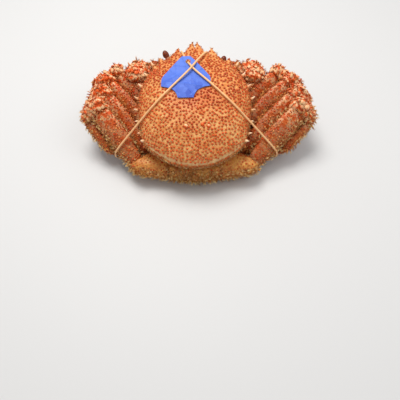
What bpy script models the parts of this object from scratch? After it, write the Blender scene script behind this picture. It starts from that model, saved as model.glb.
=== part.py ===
"""A life-size model of a boiled horsehair crab, legs folded, tied with a rubber band under a paper tag.

The crab faces +Y and is seen from behind and above. Sizes are in millimetres, and MM turns them
into metres where a mesh is made. The body frame (x right, y forward, z up) is the crab's own: it is
tilted nose up by BODY_TILT and stands BODY_HEIGHT over the floor. Legs and claws are placed in the
world frame. The right side is modelled and the left is its mirror, with its legs tucked in a bit.
Each joint is a closed tube of flattened rings. A joint that meets an earlier one is cut back to a small
gap, and the spines are joined to the finished joints at the end.
"""
import math
import random

import bmesh
import bpy
from mathutils import Matrix, Vector
from mathutils.bvhtree import BVHTree

MM = 0.001
GAP = 0.3
CUT_GAP = 0.36
MERGE = 0.00001
CUT_TOLERANCE = 1e-7
UP = Vector((0, 0, 1))
FLOOR_BLOCK = Vector((300, 300, 20))

# Rings of a joint: their sides and how square they are, and the line of each joint made, for its spines
LIMB_SIDES = 12
LIMB_POWER = 0.85
FEELER_SIDES = 8
LIMB_LINES = {}

# Finishes: colour and roughness
SHELL = ((0.72, 0.28, 0.12), 0.45)
UNDERSIDE = ((0.78, 0.5, 0.3), 0.5)
LIMB = ((0.62, 0.22, 0.1), 0.45)
EYEBALL = ((0.16, 0.03, 0.02), 0.2)
PAPER = ((0.05, 0.12, 0.6), 0.35)
RUBBER = ((0.85, 0.55, 0.35), 0.5)

# Body frame over the floor
BODY_TILT = math.radians(18)
BODY_HEIGHT = 50.0
ABOVE_ALL = 60.0

# Carapace: margin from the front middle round the right side to the rear middle, in the body frame
MARGIN = [(0, 44), (11, 42), (21, 36.5), (28.5, 32.5), (35.5, 25.5), (42, 14.5), (45.6, 1), (45.2, -14),
          (42.8, -29), (39.6, -39.5), (30, -48.2), (15, -56.2), (0, -58.4)]
CARAPACE_CENTRE = Vector((0, -5, 0))
CARAPACE_SIDES = 44
DOME_HEIGHT = 17.5
DOME_RINGS = [0.99, 0.95, 0.87, 0.75, 0.6, 0.42, 0.22, 0.07]
WALL_RINGS = [(-12.0, 8.0), (-10.0, 5.0), (-6.0, 2.0), (-2.5, 0.4)]

# Teeth of the margin: tip and root in the body frame, root radius, flatness
MARGIN_TEETH = [((1.7, 51.8, 1.0), (4.2, 36.0, 1.4), 7.0, 0.5),
                ((13.6, 46.8, 0.4), (16.2, 31.0, 1.4), 8.0, 0.45),
                ((29.6, 38.2, -0.6), (25.0, 25.0, 0.4), 6.6, 0.5),
                ((35.2, 31.0, -0.6), (30.5, 26.0, 0.0), 3.4, 0.6),
                ((40.2, 21.6, -0.6), (35.0, 18.0, 0.0), 3.2, 0.6),
                ((44.3, 11.6, -0.8), (39.0, 8.5, -0.2), 3.0, 0.6),
                ((47.3, 1.0, -1.0), (41.5, 0.0, -0.4), 2.8, 0.6),
                ((47.6, -9.0, -1.2), (42.0, -9.0, -0.6), 2.4, 0.7),
                ((46.2, -19.0, -1.4), (41.0, -18.0, -0.8), 2.2, 0.7),
                ((44.4, -29.0, -1.4), (39.0, -27.5, -0.8), 2.2, 0.7),
                ((41.8, -40.8, -1.2), (36.0, -36.5, -0.6), 3.0, 0.7)]
TOOTH_SIDES = 6

# Lower body: level, half width, front and rear reach, in the body frame
THORAX_SIDES = 32
THORAX_POWER = 0.8
THORAX_RINGS = [(-31.0, 22.0, 20.0, -48.0), (-27.0, 29.0, 27.0, -54.0), (-20.0, 34.0, 33.0, -56.0),
                (-12.0 - GAP, 37.0, 36.0, -54.5)]

# Folded tail: y, z of its middle line in the world, half width and half thickness
ABDOMEN = [(-50.8, 25.5, 20.0, 3.6), (-51.6, 19.0, 22.0, 4.2), (-50.0, 11.0, 22.0, 4.4),
           (-45.4, 5.0, 20.0, 4.4), (-37.0, 3.4, 17.5, 4.0), (-20.0, 8.0, 12.5, 3.2), (-4.0, 13.4, 8.5, 2.6),
           (9.0, 17.8, 4.0, 2.0)]
ABDOMEN_SIDES = 16
ABDOMEN_POWER = 0.75

# Mouth plates, eyes and feelers, as centre lines with half width and half thickness in the body frame
MOUTH_PLATE = [((6.8, 36.0, -13.5), 5.4, 3.0), ((6.6, 33.5, -21.0), 5.8, 3.2),
               ((6.2, 26.5, -28.5), 5.4, 3.0), ((5.4, 16.0, -32.4), 4.4, 2.6)]
MOUTH_FACE = Vector((0, 0.7, -0.7))
EYE = {1: [((20.0, 33.0, -4.5), 1.7, 1.7), ((22.6, 36.5, -3.4), 1.9, 1.9), ((24.0, 38.2, -2.6), 2.8, 2.8),
           ((25.0, 39.6, -2.0), 2.6, 2.6), ((25.7, 40.6, -1.6), 1.2, 1.2)],
       -1: [((20.0, 34.0, -3.5), 1.7, 1.7), ((23.0, 38.4, -1.6), 1.9, 1.9), ((24.3, 40.2, -0.8), 2.9, 2.9),
            ((25.3, 41.7, -0.2), 2.7, 2.7), ((26.0, 42.8, 0.2), 1.2, 1.2)]}
FEELER = [((9.0, 38.0, -6.5), 2.4, 2.2), ((11.0, 43.0, -9.0), 2.3, 2.1), ((12.6, 46.0, -11.0), 1.2, 1.2),
          ((14.4, 48.6, -14.0), 0.8, 0.8), ((16.0, 50.6, -18.0), 0.4, 0.4)]

# Walking legs, front to rear: socket in the lower body, root and knee of the upper joint, tip, half width
# and height of the base, size of the joints, and how far the left knee is tucked in
LEGS = {1: dict(socket=(20, 8, 30), root=(40, 5.5, 29.5), knee=(70, 30.2, 43.5), tip=(50, 20, 20),
                base=(5.4, 7), size=0.88, tuck=4.0),
        2: dict(socket=(20, -7, 25), root=(45.5, -8, 27.5), knee=(79.4, 20.5, 43), tip=(54, 6, 12),
                base=(6, 8), size=0.96, tuck=5.0),
        3: dict(socket=(20, -22, 20), root=(48, -23.5, 22.5), knee=(83.7, 6.6, 42), tip=(57, -8, 6),
                base=(8.5, 10), size=1.0, tuck=8.0),
        4: dict(socket=(18, -42.5, 11.8), root=(50, -39, 17), knee=(85.7, -7.3, 41), tip=(58, -22, 0.2),
                base=(10, 10), size=1.0, tuck=7.0)}
LEG_FACE = Vector((0.351, -0.784, 0.514))
BASE_BEND = 0.6
BASE_NECK = ((-4.0, 0.8, 0.9), (3.0, 0.6, 0.8))
MERUS_HALF = [(0.0, 6.8, 3.9), (0.12, 8.4, 4.3), (0.35, 10.0, 4.6), (0.62, 10.4, 4.7), (0.86, 9.8, 4.6),
              (1.0, 8.8, 4.3)]
CARPUS_HALF = [(9.4, 3.0, 2.4), (7.0, 5.2, 4.2), (2.0, 7.0, 5.0), (-6.0, 7.2, 5.0), (-13.0, 6.0, 4.4),
               (-18.0, 3.4, 2.6)]
CARPUS_SINK = 1.0
FOLD_DEPTH = 15.0
PROPODUS_LENGTH = 27.0
PROPODUS_SHARE = 0.55
PROPODUS_HALF = [(0.0, 4.2, 3.4), (0.2, 4.6, 4.0), (0.7, 4.4, 4.0), (1.0, 3.6, 3.4)]
DACTYLUS_HALF = [(-0.06, 3.2, 2.9), (0.12, 3.4, 3.0), (0.45, 2.8, 2.5), (0.8, 1.7, 1.5), (1.0, 0.6, 0.6)]

# Tag of coated paper: middle in the body frame, half widths along it from the bottom to the top
TAG_MIDDLE = (-6.8, 11.0)
TAG_TOP, TAG_SHOULDER, TAG_ELBOW, TAG_BOTTOM = 19.4, 1.4, -7.6, -18.0
TAG_HALF_TOP, TAG_HALF_WIDTH, TAG_HALF_BOTTOM = 3.7, 19.5, 6.3
TAG_ROWS = [TAG_BOTTOM, -15.0, -12.0, -9.4, TAG_ELBOW, -3.0, TAG_SHOULDER, 6.0, 10.5, 14.5, TAG_TOP]
TAG_COLUMNS = 6
TAG_LEVEL = 16.0
TAG_THICKNESS = 0.5
TAG_CLEARANCE = 0.8
TAG_LIFT = 3.4
TAG_LIFT_FROM, TAG_LIFT_OVER = 6.0, 8.0
TAG_HOLE = Vector((-5.2, 25.5))
TAG_HOLE_RADIUS = 2.2
TAG_HOLE_SIDES = 10
PUNCH_DEPTH = 30.0

# Rubber band: where it crosses itself, and where it bends round the right and left sides, world frame
BAND_RADIUS = 0.9
BAND_CLEARANCE = 0.5
BAND_STEP = 0.8
BAND_SAMPLES = 70
BAND_ROUNDNESS = 2
THREADING = 0.3
FAR = 150.0
BALL_RINGS = ((0, 1), (0.5, 6), (0.9, 8))
BAND_CROSSING = Vector((-1.6, 19.4, 60))
BAND_LEAN = Vector((0, -0.49, 0.87)).normalized()
BAND_FRONT = {1: Vector((10.4, 41.0, 50)), -1: Vector((-11.5, 41.5, 50))}
BAND_SIDE = {1: Vector((70.0, -25.0, 14.0)), -1: Vector((-67.5, -25.0, 14.0))}
BAND_OUTWARD = Vector((0.25, -0.8, -0.55)).normalized()
BAND_CHIN = {1: Vector((28.0, 57.0, 30.0)), -1: Vector((-29.0, 57.0, 30.0))}
BAND_FORWARD = Vector((0, 0.8, 0.6))

# Spines: rows along a joint as (turn round it in degrees, how many, from, to, height, root radius)
SEED = 7
SPINE_SINK = 1.4
SPINE_ROOM = 0.55
SPINE_SIDES = 5
SPINE_SHIFT = 0.25
SPINE_LEAN = (0.1, 0.5)
SPINE_SIZES = (0.85, 1.1)
ROOM_TESTS = (0.45, 0.7, 1.0)
LEG_ROWS = {"merus": [(0, 6, 0.1, 0.97, 1.7, 0.8), (180, 3, 0.2, 0.8, 1.7, 0.8)],
            "carpus": [(-15, 4, 0.05, 0.75, 1.8, 0.9), (40, 3, 0.08, 0.6, 1.7, 0.9),
                       (90, 2, 0.2, 0.6, 1.4, 0.8)],
            "propodus": [(180, 4, 0.06, 0.97, 1.9, 0.7), (90, 2, 0.2, 0.8, 1.4, 0.7)]}
LAST_LEG_ROWS = {"base": [(180, 5, 0.25, 0.95, 2.2, 0.8), (140, 4, 0.3, 0.95, 1.8, 0.8)],
                 "merus": [(180, 5, 0.06, 0.9, 2.0, 0.8), (90, 4, 0.15, 0.9, 1.2, 0.7)]}
CLAW_ROWS = {"carpus": [(60, 3, 0.3, 0.85, 2.2, 1.0), (100, 3, 0.25, 0.8, 2.0, 1.0),
                        (20, 3, 0.35, 0.9, 2.0, 1.0), (-20, 2, 0.4, 0.85, 2.0, 1.0)],
             "palm": [(90, 3, 0.15, 0.85, 1.6, 0.9), (40, 3, 0.1, 0.9, 1.8, 0.9),
                      (0, 3, 0.1, 0.9, 1.8, 0.9)]}
TAIL_ROWS = [(-90, 5, 0.12, 0.42, 2.0, 0.8), (-65, 3, 0.1, 0.4, 2.0, 0.8), (-115, 3, 0.1, 0.4, 2.0, 0.8)]

# Grains of the carapace: their field on one half, its oval limit, spacing, height and radius
GRAIN_TRIES = 400
GRAIN_ACROSS, GRAIN_ALONG = (1.5, 42), (-52, 42)
GRAIN_OVAL = (45, 50, -7)
GRAIN_LIMIT = 0.9
GRAIN_SPACING = 8.0
GRAIN_HEIGHT, GRAIN_RADIUS = 1.1, 0.9

# Claws, right side, in the world frame
CLAW_MERUS = [((22, 27, 34), 5.6, 5.6), ((34, 26.5, 36.5), 5.8, 5.8), ((43, 24.5, 40.0), 5.8, 5.4),
              ((47.8, 21.6, 42.4), 5.2, 5.0), ((50.2, 19.6, 43.6), 3.0, 3.0)]
CLAW_CARPUS = [((49, 23.0, 45.4), 5.0, 4.6), ((49.2, 25.4, 45.8), 9.6, 8.4), ((49.4, 31.0, 45.6), 11.8, 10.6),
               ((48.0, 37.5, 43.6), 10.8, 9.8), ((45.6, 42.4, 40.6), 7.4, 7.0)]
CLAW_FACE = Vector((0.35, 0.93, 0.10))
PALM = [((44.0, 43.8, 37.4), 7.4, 6.2), ((38.6, 48.0, 34.0), 10.0, 7.4), ((30.0, 52.6, 29.6), 11.4, 8.0),
        ((22.0, 56.0, 25.0), 10.6, 7.4), ((17.0, 57.0, 20.6), 8.6, 6.2)]
FIXED_FINGER = [((23.0, 55.6, 20.0), 5.0, 4.6), ((17.0, 56.2, 13.0), 4.4, 4.0), ((12.0, 55.6, 6.0), 3.0, 2.8),
                ((8.4, 54.4, 0.6), 1.2, 1.2)]
MOVING_FINGER = [((12.6, 57.4, 23.0), 4.2, 4.2), ((10.6, 57.6, 19.6), 4.5, 4.4),
                 ((6.4, 57.2, 13.0), 3.3, 3.2), ((3.2, 56.0, 7.4), 2.0, 2.0), ((2.2, 55.0, 4.2), 0.7, 0.7)]


def reset_scene():
    for obj in list(bpy.data.objects):
        bpy.data.objects.remove(obj, do_unlink=True)


def collection(name):
    made = bpy.data.collections.new(name)
    bpy.context.scene.collection.children.link(made)
    return made


def world(point):
    """A body-frame point in the world frame."""
    x, y, z = point
    sine, cosine = math.sin(BODY_TILT), math.cos(BODY_TILT)
    return Vector((x, y * cosine - z * sine, BODY_HEIGHT + y * sine + z * cosine))


def body_up():
    return (world((0, 0, 1)) - world((0, 0, 0))).normalized()


def mirrored(point, side):
    return Vector((point[0] * side, point[1], point[2]))


def material(name, finish):
    colour, roughness = finish
    made = bpy.data.materials.new(name)
    made.use_nodes = True
    shader = made.node_tree.nodes["Principled BSDF"]
    shader.inputs["Base Color"].default_value = (*colour, 1)
    shader.inputs["Roughness"].default_value = roughness
    return made


def face_outwards(bm):
    bmesh.ops.recalc_face_normals(bm, faces=bm.faces)
    if bm.calc_volume(signed=True) < 0:
        bmesh.ops.reverse_faces(bm, faces=bm.faces)


def stack(sides, rings, point):
    """A closed body: a primitive cylinder cut into rings, each corner moved to point(ring, side)."""
    bm = bmesh.new()
    bmesh.ops.create_cone(bm, cap_ends=True, segments=sides, radius1=1, radius2=1, depth=rings - 1)
    upright = [e for e in bm.edges if abs(e.verts[0].co.z - e.verts[1].co.z) > 0.5]
    bmesh.ops.subdivide_edges(bm, edges=upright, cuts=rings - 2)
    for corner in bm.verts:
        ring = round(corner.co.z + (rings - 1) / 2)
        side = round(math.atan2(corner.co.y, corner.co.x) / math.tau * sides) % sides
        corner.co = point(ring, side) * MM
    face_outwards(bm)
    return bm


def rounded(value, power):
    return math.copysign(abs(value) ** power, value)


def limb_spot(stations, face, share, turn):
    """A place on a limb's surface, the way out of it and the way along it, share running from 0 to 1."""
    place = min(max(share, 0.0), 0.999) * (len(stations) - 1)
    i = int(place)
    (before, wide1, thick1), (after, wide2, thick2) = stations[i], stations[i + 1]
    before, after = Vector(before), Vector(after)
    along = (after - before).normalized()
    across = face.cross(along).normalized()
    through = along.cross(across)
    wide = wide1 + (wide2 - wide1) * (place - i)
    thick = thick1 + (thick2 - thick1) * (place - i)
    centre = before.lerp(after, place - i)
    cosine, sine = math.cos(turn), math.sin(turn)
    spot = centre + across * wide * rounded(cosine, LIMB_POWER) + through * thick * rounded(sine, LIMB_POWER)
    return spot, (across * cosine + through * sine).normalized(), along


def limb_mesh(stations, face, ends=(None, None), sides=LIMB_SIDES, power=LIMB_POWER):
    """A tube of flattened rings along stations (centre, half width, half thickness).

    face is the way the broad side looks, and ends are the normals of the two end faces.
    """
    centres = [Vector(station[0]) for station in stations]
    last = len(stations) - 1
    axes = [centres[min(i + 1, last)] - centres[max(i - 1, 0)] for i in range(last + 1)]
    axes[0] = ends[0] or axes[0]
    axes[last] = ends[1] or axes[last]

    def point(ring, side):
        axis = axes[ring].normalized()
        across = face.cross(axis).normalized()
        through = axis.cross(across)
        turn = math.tau * side / sides
        _, half_width, half_thickness = stations[ring]
        return (centres[ring] + across * half_width * rounded(math.cos(turn), power)
                + through * half_thickness * rounded(math.sin(turn), power))

    return stack(sides, last + 1, point)


def add_object(name, bm, origin, home, finish):
    """An object whose mesh is bm, with its origin at a world point in millimetres."""
    place = Vector(origin) * MM
    bmesh.ops.translate(bm, verts=bm.verts, vec=-place)
    face_outwards(bm)
    mesh = bpy.data.meshes.new(name)
    bm.to_mesh(mesh)
    bm.free()
    obj = bpy.data.objects.new(name, mesh)
    obj.location = place
    home.objects.link(obj)
    if finish:
        mesh.materials.append(material(name, finish))
    return obj


def world_bmesh(obj):
    bm = bmesh.new()
    bm.from_mesh(obj.data)
    bm.transform(Matrix.Translation(obj.location))
    return bm


def keep_largest(bm):
    """Leave only the closed surface with the most room in it."""
    left = set(bm.faces)
    groups = []
    while left:
        group = set()
        queue = [left.pop()]
        while queue:
            face = queue.pop()
            group.add(face)
            near = {other for edge in face.edges for other in edge.link_faces} & left
            left -= near
            queue.extend(near)
        groups.append(group)

    def room(group):
        corners = [corner.co for face in group for corner in face.verts]
        spans = [max(c[i] for c in corners) - min(c[i] for c in corners) for i in range(3)]
        return spans[0] * spans[1] * spans[2]

    keep = max(groups, key=room)
    drop = [face for face in bm.faces if face not in keep]
    bmesh.ops.delete(bm, geom=drop, context="FACES")


def apply_boolean(obj, others, operation):
    """Join others to obj, or cut them from it, and take the others out of the file."""
    tools = collection("tools")
    for other in others:
        for home in list(other.users_collection):
            home.objects.unlink(other)
        tools.objects.link(other)
        other.hide_render = True
        other.display_type = "WIRE"
    change = obj.modifiers.new("join" if operation == "UNION" else "cut", "BOOLEAN")
    change.operation = operation
    change.operand_type = "COLLECTION"
    change.collection = tools
    change.solver = "EXACT"
    bpy.context.view_layer.update()
    shape = bpy.data.meshes.new_from_object(obj.evaluated_get(bpy.context.evaluated_depsgraph_get()))
    obj.modifiers.clear()
    obj.data = shape
    for other in others:
        bpy.data.objects.remove(other, do_unlink=True)
    bpy.data.collections.remove(tools)
    bm = bmesh.new()
    bm.from_mesh(shape)
    bmesh.ops.remove_doubles(bm, verts=bm.verts, dist=MERGE)
    bmesh.ops.dissolve_degenerate(bm, edges=bm.edges, dist=MERGE)
    keep_largest(bm)
    bmesh.ops.triangulate(bm, faces=bm.faces)
    bm.to_mesh(shape)
    bm.free()


def swollen(obj, by=CUT_GAP):
    """A copy of obj pushed out by a gap, for cutting its neighbours."""
    bm = world_bmesh(obj)
    bm.normal_update()
    moves = [(corner, corner.normal * corner.calc_shell_factor() * by * MM) for corner in bm.verts]
    for corner, move in moves:
        corner.co += move
    return add_object(obj.name + ".cutter", bm, (0, 0, 0), bpy.context.scene.collection, None)


def trim(obj, *neighbours):
    for other in neighbours:
        apply_boolean(obj, [swollen(other)], "DIFFERENCE")


def cut_plane(bm, point, normal):
    """Cut away what lies past a plane, and close the cut."""
    geometry = bm.verts[:] + bm.edges[:] + bm.faces[:]
    cut = bmesh.ops.bisect_plane(bm, geom=geometry, dist=CUT_TOLERANCE, plane_co=Vector(point) * MM,
                                 plane_no=normal, clear_outer=True)
    if any(isinstance(item, bmesh.types.BMEdge) for item in cut["geom_cut"]):
        bmesh.ops.remove_doubles(bm, verts=bm.verts, dist=MERGE)
        rim = [edge for edge in bm.edges if len(edge.link_faces) == 1]
        cap = bmesh.ops.holes_fill(bm, edges=rim, sides=0)["faces"]
        bmesh.ops.poke(bm, faces=cap)
        bmesh.ops.triangulate(bm, faces=bm.faces)
        face_outwards(bm)


def press_flat(bm, point, normal):
    """Move the corners that lie behind a plane onto it, so that the body ends in a flat face there."""
    for corner in bm.verts:
        depth = (corner.co - point * MM).dot(normal)
        if depth < 0:
            corner.co -= normal * depth
    bmesh.ops.triangulate(bm, faces=bm.faces)
    face_outwards(bm)


def stand_on_floor(obj):
    """Cut a small flat where obj dips under the floor."""
    below = bmesh.new()
    bmesh.ops.create_cube(below, size=1)
    below.transform(Matrix.Diagonal((*(FLOOR_BLOCK * MM), 1)) @ Matrix.Translation((0, 0, -0.5)))
    block = add_object("below", below, (0, 0, 0), bpy.context.scene.collection, None)
    apply_boolean(obj, [block], "DIFFERENCE")


def spline(points, share):
    """A point on a smooth curve through points, share running from 0 to 1."""
    last = len(points) - 1
    place = min(share * last, last - 1e-9)
    i = int(place)
    t = place - i
    p1, p2 = Vector(points[i]), Vector(points[i + 1])
    p0 = Vector(points[i - 1]) if i > 0 else p1 * 2 - p2
    p3 = Vector(points[i + 2]) if i + 2 <= last else p2 * 2 - p1
    return 0.5 * (2 * p1 + (p2 - p0) * t + (2 * p0 - 5 * p1 + 4 * p2 - p3) * t * t
                  + (3 * p1 - p0 - 3 * p2 + p3) * t ** 3)


def margin(side_index):
    """Edge of the carapace, counted from the front middle towards the right."""
    half = CARAPACE_SIDES // 2
    count = side_index if side_index <= half else CARAPACE_SIDES - side_index
    edge = spline(MARGIN, count / half)
    return Vector((edge.x if side_index <= half else -edge.x, edge.y, 0))


def relief(x, y):
    """Swellings and hollows of the shell's regions."""
    def mound(cx, cy, wide, long, high):
        return high * math.exp(-((abs(x) - cx) / wide) ** 2 - ((y - cy) / long) ** 2)
    return (mound(0, 14, 14, 12, 1.2) + mound(0, -24, 9, 9, 1.4) + mound(27, -6, 13, 18, 1.3)
            - mound(14, -13, 4, 12, 0.9) - mound(16, -44, 8, 6, 1.2))


def carapace_mesh():
    wall = len(WALL_RINGS)

    def point(ring, side):
        edge = margin(side)
        out = edge - CARAPACE_CENTRE
        if ring < wall:
            level, inset = WALL_RINGS[ring]
            return world(edge - out.normalized() * inset + Vector((0, 0, level)))
        if ring == wall:
            return world(edge)
        share = DOME_RINGS[ring - wall - 1]
        spot = CARAPACE_CENTRE + out * share
        frontal = max(0.0, out.y / out.length) ** 2
        rise = DOME_HEIGHT * (1 - share ** (2.3 - 0.5 * frontal)) ** (0.6 + 0.35 * frontal)
        return world((spot.x, spot.y, rise + relief(spot.x, spot.y) * (1 - share ** 4)))

    return stack(CARAPACE_SIDES, wall + 1 + len(DOME_RINGS), point)


def add_cone(tip, root, radius, sides, flatness=1.0):
    """A spine or tooth as a closed cone from a sunk root to its tip."""
    bm = bmesh.new()
    direction = tip - root
    reach = direction.length
    bmesh.ops.create_cone(bm, cap_ends=True, segments=sides, radius1=radius * MM, radius2=0, depth=reach * MM)
    turn = direction.to_track_quat("Z", "Y").to_matrix().to_4x4()
    bm.transform(Matrix.Translation((tip + root) / 2 * MM) @ turn @ Matrix.Diagonal((1, flatness, 1, 1)))
    return add_object("spine", bm, (0, 0, 0), bpy.context.scene.collection, None)


def make_carapace(home, finish):
    obj = add_object("carapace", carapace_mesh(), world((0, 0, 0)), home, finish)
    teeth = []
    for tip, root, radius, flatness in MARGIN_TEETH:
        for side in (1, -1):
            ends = world(mirrored(tip, side)), world(mirrored(root, side))
            teeth.append(add_cone(*ends, radius, TOOTH_SIDES, flatness))
    apply_boolean(obj, teeth, "UNION")
    return obj


def thorax_mesh():
    def point(ring, side):
        level, half_width, front, rear = THORAX_RINGS[ring]
        turn = math.tau * side / THORAX_SIDES
        across = half_width * rounded(math.sin(turn), THORAX_POWER)
        along = (front + rear) / 2 + (front - rear) / 2 * rounded(math.cos(turn), THORAX_POWER)
        return world((across, along, level))

    return stack(THORAX_SIDES, len(THORAX_RINGS), point)


def body_stations(stations, side):
    return [(world(mirrored(centre, side)), wide, thick) for centre, wide, thick in stations]


def side_stations(stations, side):
    return [(mirrored(centre, side), wide, thick) for centre, wide, thick in stations]


def make_abdomen(home, finish):
    stations = [(Vector((0, y, z)), wide, thick) for y, z, wide, thick in ABDOMEN]
    LIMB_LINES["abdomen"] = (stations, Vector((0, 1, 0)))
    centres = [station[0] for station in stations]

    def point(ring, side):
        before, after = centres[max(ring - 1, 0)], centres[min(ring + 1, len(centres) - 1)]
        axis = (after - before).normalized()
        out = axis.cross(Vector((1, 0, 0)))
        turn = math.tau * side / ABDOMEN_SIDES
        _, wide, thick = stations[ring]
        return (centres[ring] + Vector((wide * rounded(math.cos(turn), ABDOMEN_POWER), 0, 0))
                + out * thick * rounded(math.sin(turn), ABDOMEN_POWER))

    return add_object("abdomen", stack(ABDOMEN_SIDES, len(stations), point), centres[0], home, finish)


def leg_frame(leg, side):
    """Root, knee and the three directions of a leg: along, up across its broad side, and out of it."""
    root = mirrored(leg["root"], side)
    knee = mirrored(leg["knee"], side)
    if side < 0:
        knee.x += leg["tuck"]
    along = (knee - root).normalized()
    face = mirrored(LEG_FACE, side)
    face = (face - along * face.dot(along)).normalized()
    up = face.cross(along) * side
    return root, knee, along, up, face


def make_leg(number, side, home, finish):
    """The five joints of one folded walking leg."""
    name = f"leg{number}_{'right' if side > 0 else 'left'}"
    leg = LEGS[number]
    root, knee, along, up, face = leg_frame(leg, side)
    length = (knee - root).length

    socket = mirrored(leg["socket"], side)
    end = root - along * GAP
    wide, high = leg["base"]
    base_stations = [(socket, wide, high), (socket.lerp(end, BASE_BEND), wide, high)]
    base_stations += [(end + along * shift, wide * narrow, high * low) for shift, narrow, low in BASE_NECK]
    base = limb_mesh(base_stations, UP, (None, along))
    cut_plane(base, end, along)
    made = {"base": add_object(name + "_base", base, socket, home, finish)}
    LIMB_LINES[name + "_base"] = (base_stations, UP)

    size = leg["size"]
    stations = [(root + along * length * share, wide * size, thick * size)
                for share, wide, thick in MERUS_HALF]
    made["merus"] = add_object(name + "_merus", limb_mesh(stations, face, (along, along)), root, home, finish)
    LIMB_LINES[name + "_merus"] = (stations, face)

    stations = [(knee + up * level * size + along * (wide - CARPUS_SINK) * size, wide * size, thick * size)
                for level, wide, thick in CARPUS_HALF]
    carpus = limb_mesh(stations, face, (-up, -up))
    press_flat(carpus, knee + along * GAP, along)
    made["carpus"] = add_object(name + "_carpus", carpus, knee, home, finish)
    LIMB_LINES[name + "_carpus"] = (stations, face)

    fold = knee - up * FOLD_DEPTH * size
    reach = min(PROPODUS_LENGTH, length * PROPODUS_SHARE) * size
    stations = [(fold - along * reach * share, wide * size, thick) for share, wide, thick in PROPODUS_HALF]
    propodus = limb_mesh(stations, face, (-along, -along))
    made["propodus"] = add_object(name + "_propodus", propodus, fold, home, finish)
    LIMB_LINES[name + "_propodus"] = (stations, face)

    start = fold - along * (reach + GAP)
    tip = mirrored(leg["tip"], side)
    stations = [(start.lerp(tip, share), wide, thick) for share, wide, thick in DACTYLUS_HALF]
    dactylus = limb_mesh(stations, face)
    cut_plane(dactylus, start, along)
    made["dactylus"] = add_object(name + "_dactylus", dactylus, start, home, finish)
    return made


def make_claw(side, home, finish):
    name = f"claw_{'right' if side > 0 else 'left'}"
    face = mirrored(CLAW_FACE, side)
    made = {}
    for part, stations, look in (("merus", CLAW_MERUS, UP), ("carpus", CLAW_CARPUS, UP), ("palm", PALM, face),
                                 ("finger", MOVING_FINGER, face)):
        placed = side_stations(stations, side)
        made[part] = add_object(f"{name}_{part}", limb_mesh(placed, look), placed[0][0], home, finish)
        LIMB_LINES[f"{name}_{part}"] = (placed, look)
    fixed = limb_mesh(side_stations(FIXED_FINGER, side), face)
    apply_boolean(made["palm"], [add_object("fixed", fixed, (0, 0, 0), home, None)], "UNION")
    return made


def solid_tree(objects):
    """One search tree of all the solids, for laying the tag and the band on them."""
    deps = bpy.context.evaluated_depsgraph_get()
    corners, faces = [], []
    for obj in objects:
        shape = bpy.data.meshes.new_from_object(obj.evaluated_get(deps))
        start = len(corners)
        corners.extend(obj.matrix_world @ corner.co for corner in shape.vertices)
        faces.extend([start + index for index in face.vertices] for face in shape.polygons)
        bpy.data.meshes.remove(shape)
    return BVHTree.FromPolygons(corners, faces)


def tag_half_width(level):
    if level >= TAG_SHOULDER:
        share = (level - TAG_SHOULDER) / (TAG_TOP - TAG_SHOULDER)
        return TAG_HALF_WIDTH + (TAG_HALF_TOP - TAG_HALF_WIDTH) * share
    if level >= TAG_ELBOW:
        return TAG_HALF_WIDTH
    share = (level - TAG_BOTTOM) / (TAG_ELBOW - TAG_BOTTOM)
    return TAG_HALF_WIDTH - (TAG_HALF_WIDTH - TAG_HALF_BOTTOM) * math.sqrt(1 - share * share)


def make_tag(tree, home, finish):
    """A sheet of paper laid over the shell, with a hole that one arm of the band goes through."""
    up = body_up()
    bm = bmesh.new()
    bmesh.ops.create_grid(bm, x_segments=TAG_COLUMNS, y_segments=len(TAG_ROWS) - 1, size=1)
    for corner in bm.verts:
        row = round((corner.co.y + 1) / 2 * (len(TAG_ROWS) - 1))
        level = TAG_ROWS[row]
        x = TAG_MIDDLE[0] + corner.co.x * tag_half_width(level)
        y = TAG_MIDDLE[1] + level
        over = world((x, y, ABOVE_ALL)) * MM
        hit = tree.ray_cast(over, -up)[0]
        lift = TAG_CLEARANCE + TAG_LIFT * max(0.0, (level - TAG_LIFT_FROM) / TAG_LIFT_OVER)
        corner.co = hit + up * lift * MM
    bmesh.ops.triangulate(bm, faces=bm.faces)
    obj = add_object("tag", bm, world((*TAG_MIDDLE, TAG_LEVEL)), home, finish)
    sheet = obj.modifiers.new("paper", "SOLIDIFY")
    sheet.thickness = TAG_THICKNESS * MM
    sheet.offset = 1 if obj.data.polygons[0].normal.z > 0 else -1
    bpy.context.view_layer.update()
    obj.data = bpy.data.meshes.new_from_object(obj.evaluated_get(bpy.context.evaluated_depsgraph_get()))
    obj.modifiers.clear()
    punch = bmesh.new()
    bmesh.ops.create_cone(punch, cap_ends=True, segments=TAG_HOLE_SIDES, radius1=TAG_HOLE_RADIUS * MM,
                          radius2=TAG_HOLE_RADIUS * MM, depth=PUNCH_DEPTH * MM)
    turn = up.to_track_quat("Z", "Y").to_matrix().to_4x4()
    punch.transform(Matrix.Translation(world((TAG_HOLE.x, TAG_HOLE.y, TAG_LEVEL)) * MM) @ turn)
    apply_boolean(obj, [add_object("punch", punch, (0, 0, 0), home, None)], "DIFFERENCE")
    return obj


def resting(tree, point, away, radius):
    """The place where a ball dropped along a line through the point comes to rest on the solids, or None."""
    side = away.orthogonal().normalized()
    other = away.cross(side)
    best = None
    for ring, count in BALL_RINGS:
        for step in range(count):
            turn = math.tau * step / count
            start = point + (side * math.cos(turn) + other * math.sin(turn)) * radius * ring + away * FAR
            hit, _, _, distance = tree.ray_cast(start * MM, -away)
            if hit is None:
                continue
            rest = FAR - distance / MM + radius * math.sqrt(1 - ring * ring)
            best = rest if best is None else max(best, rest)
    return None if best is None else point + away * best


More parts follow.
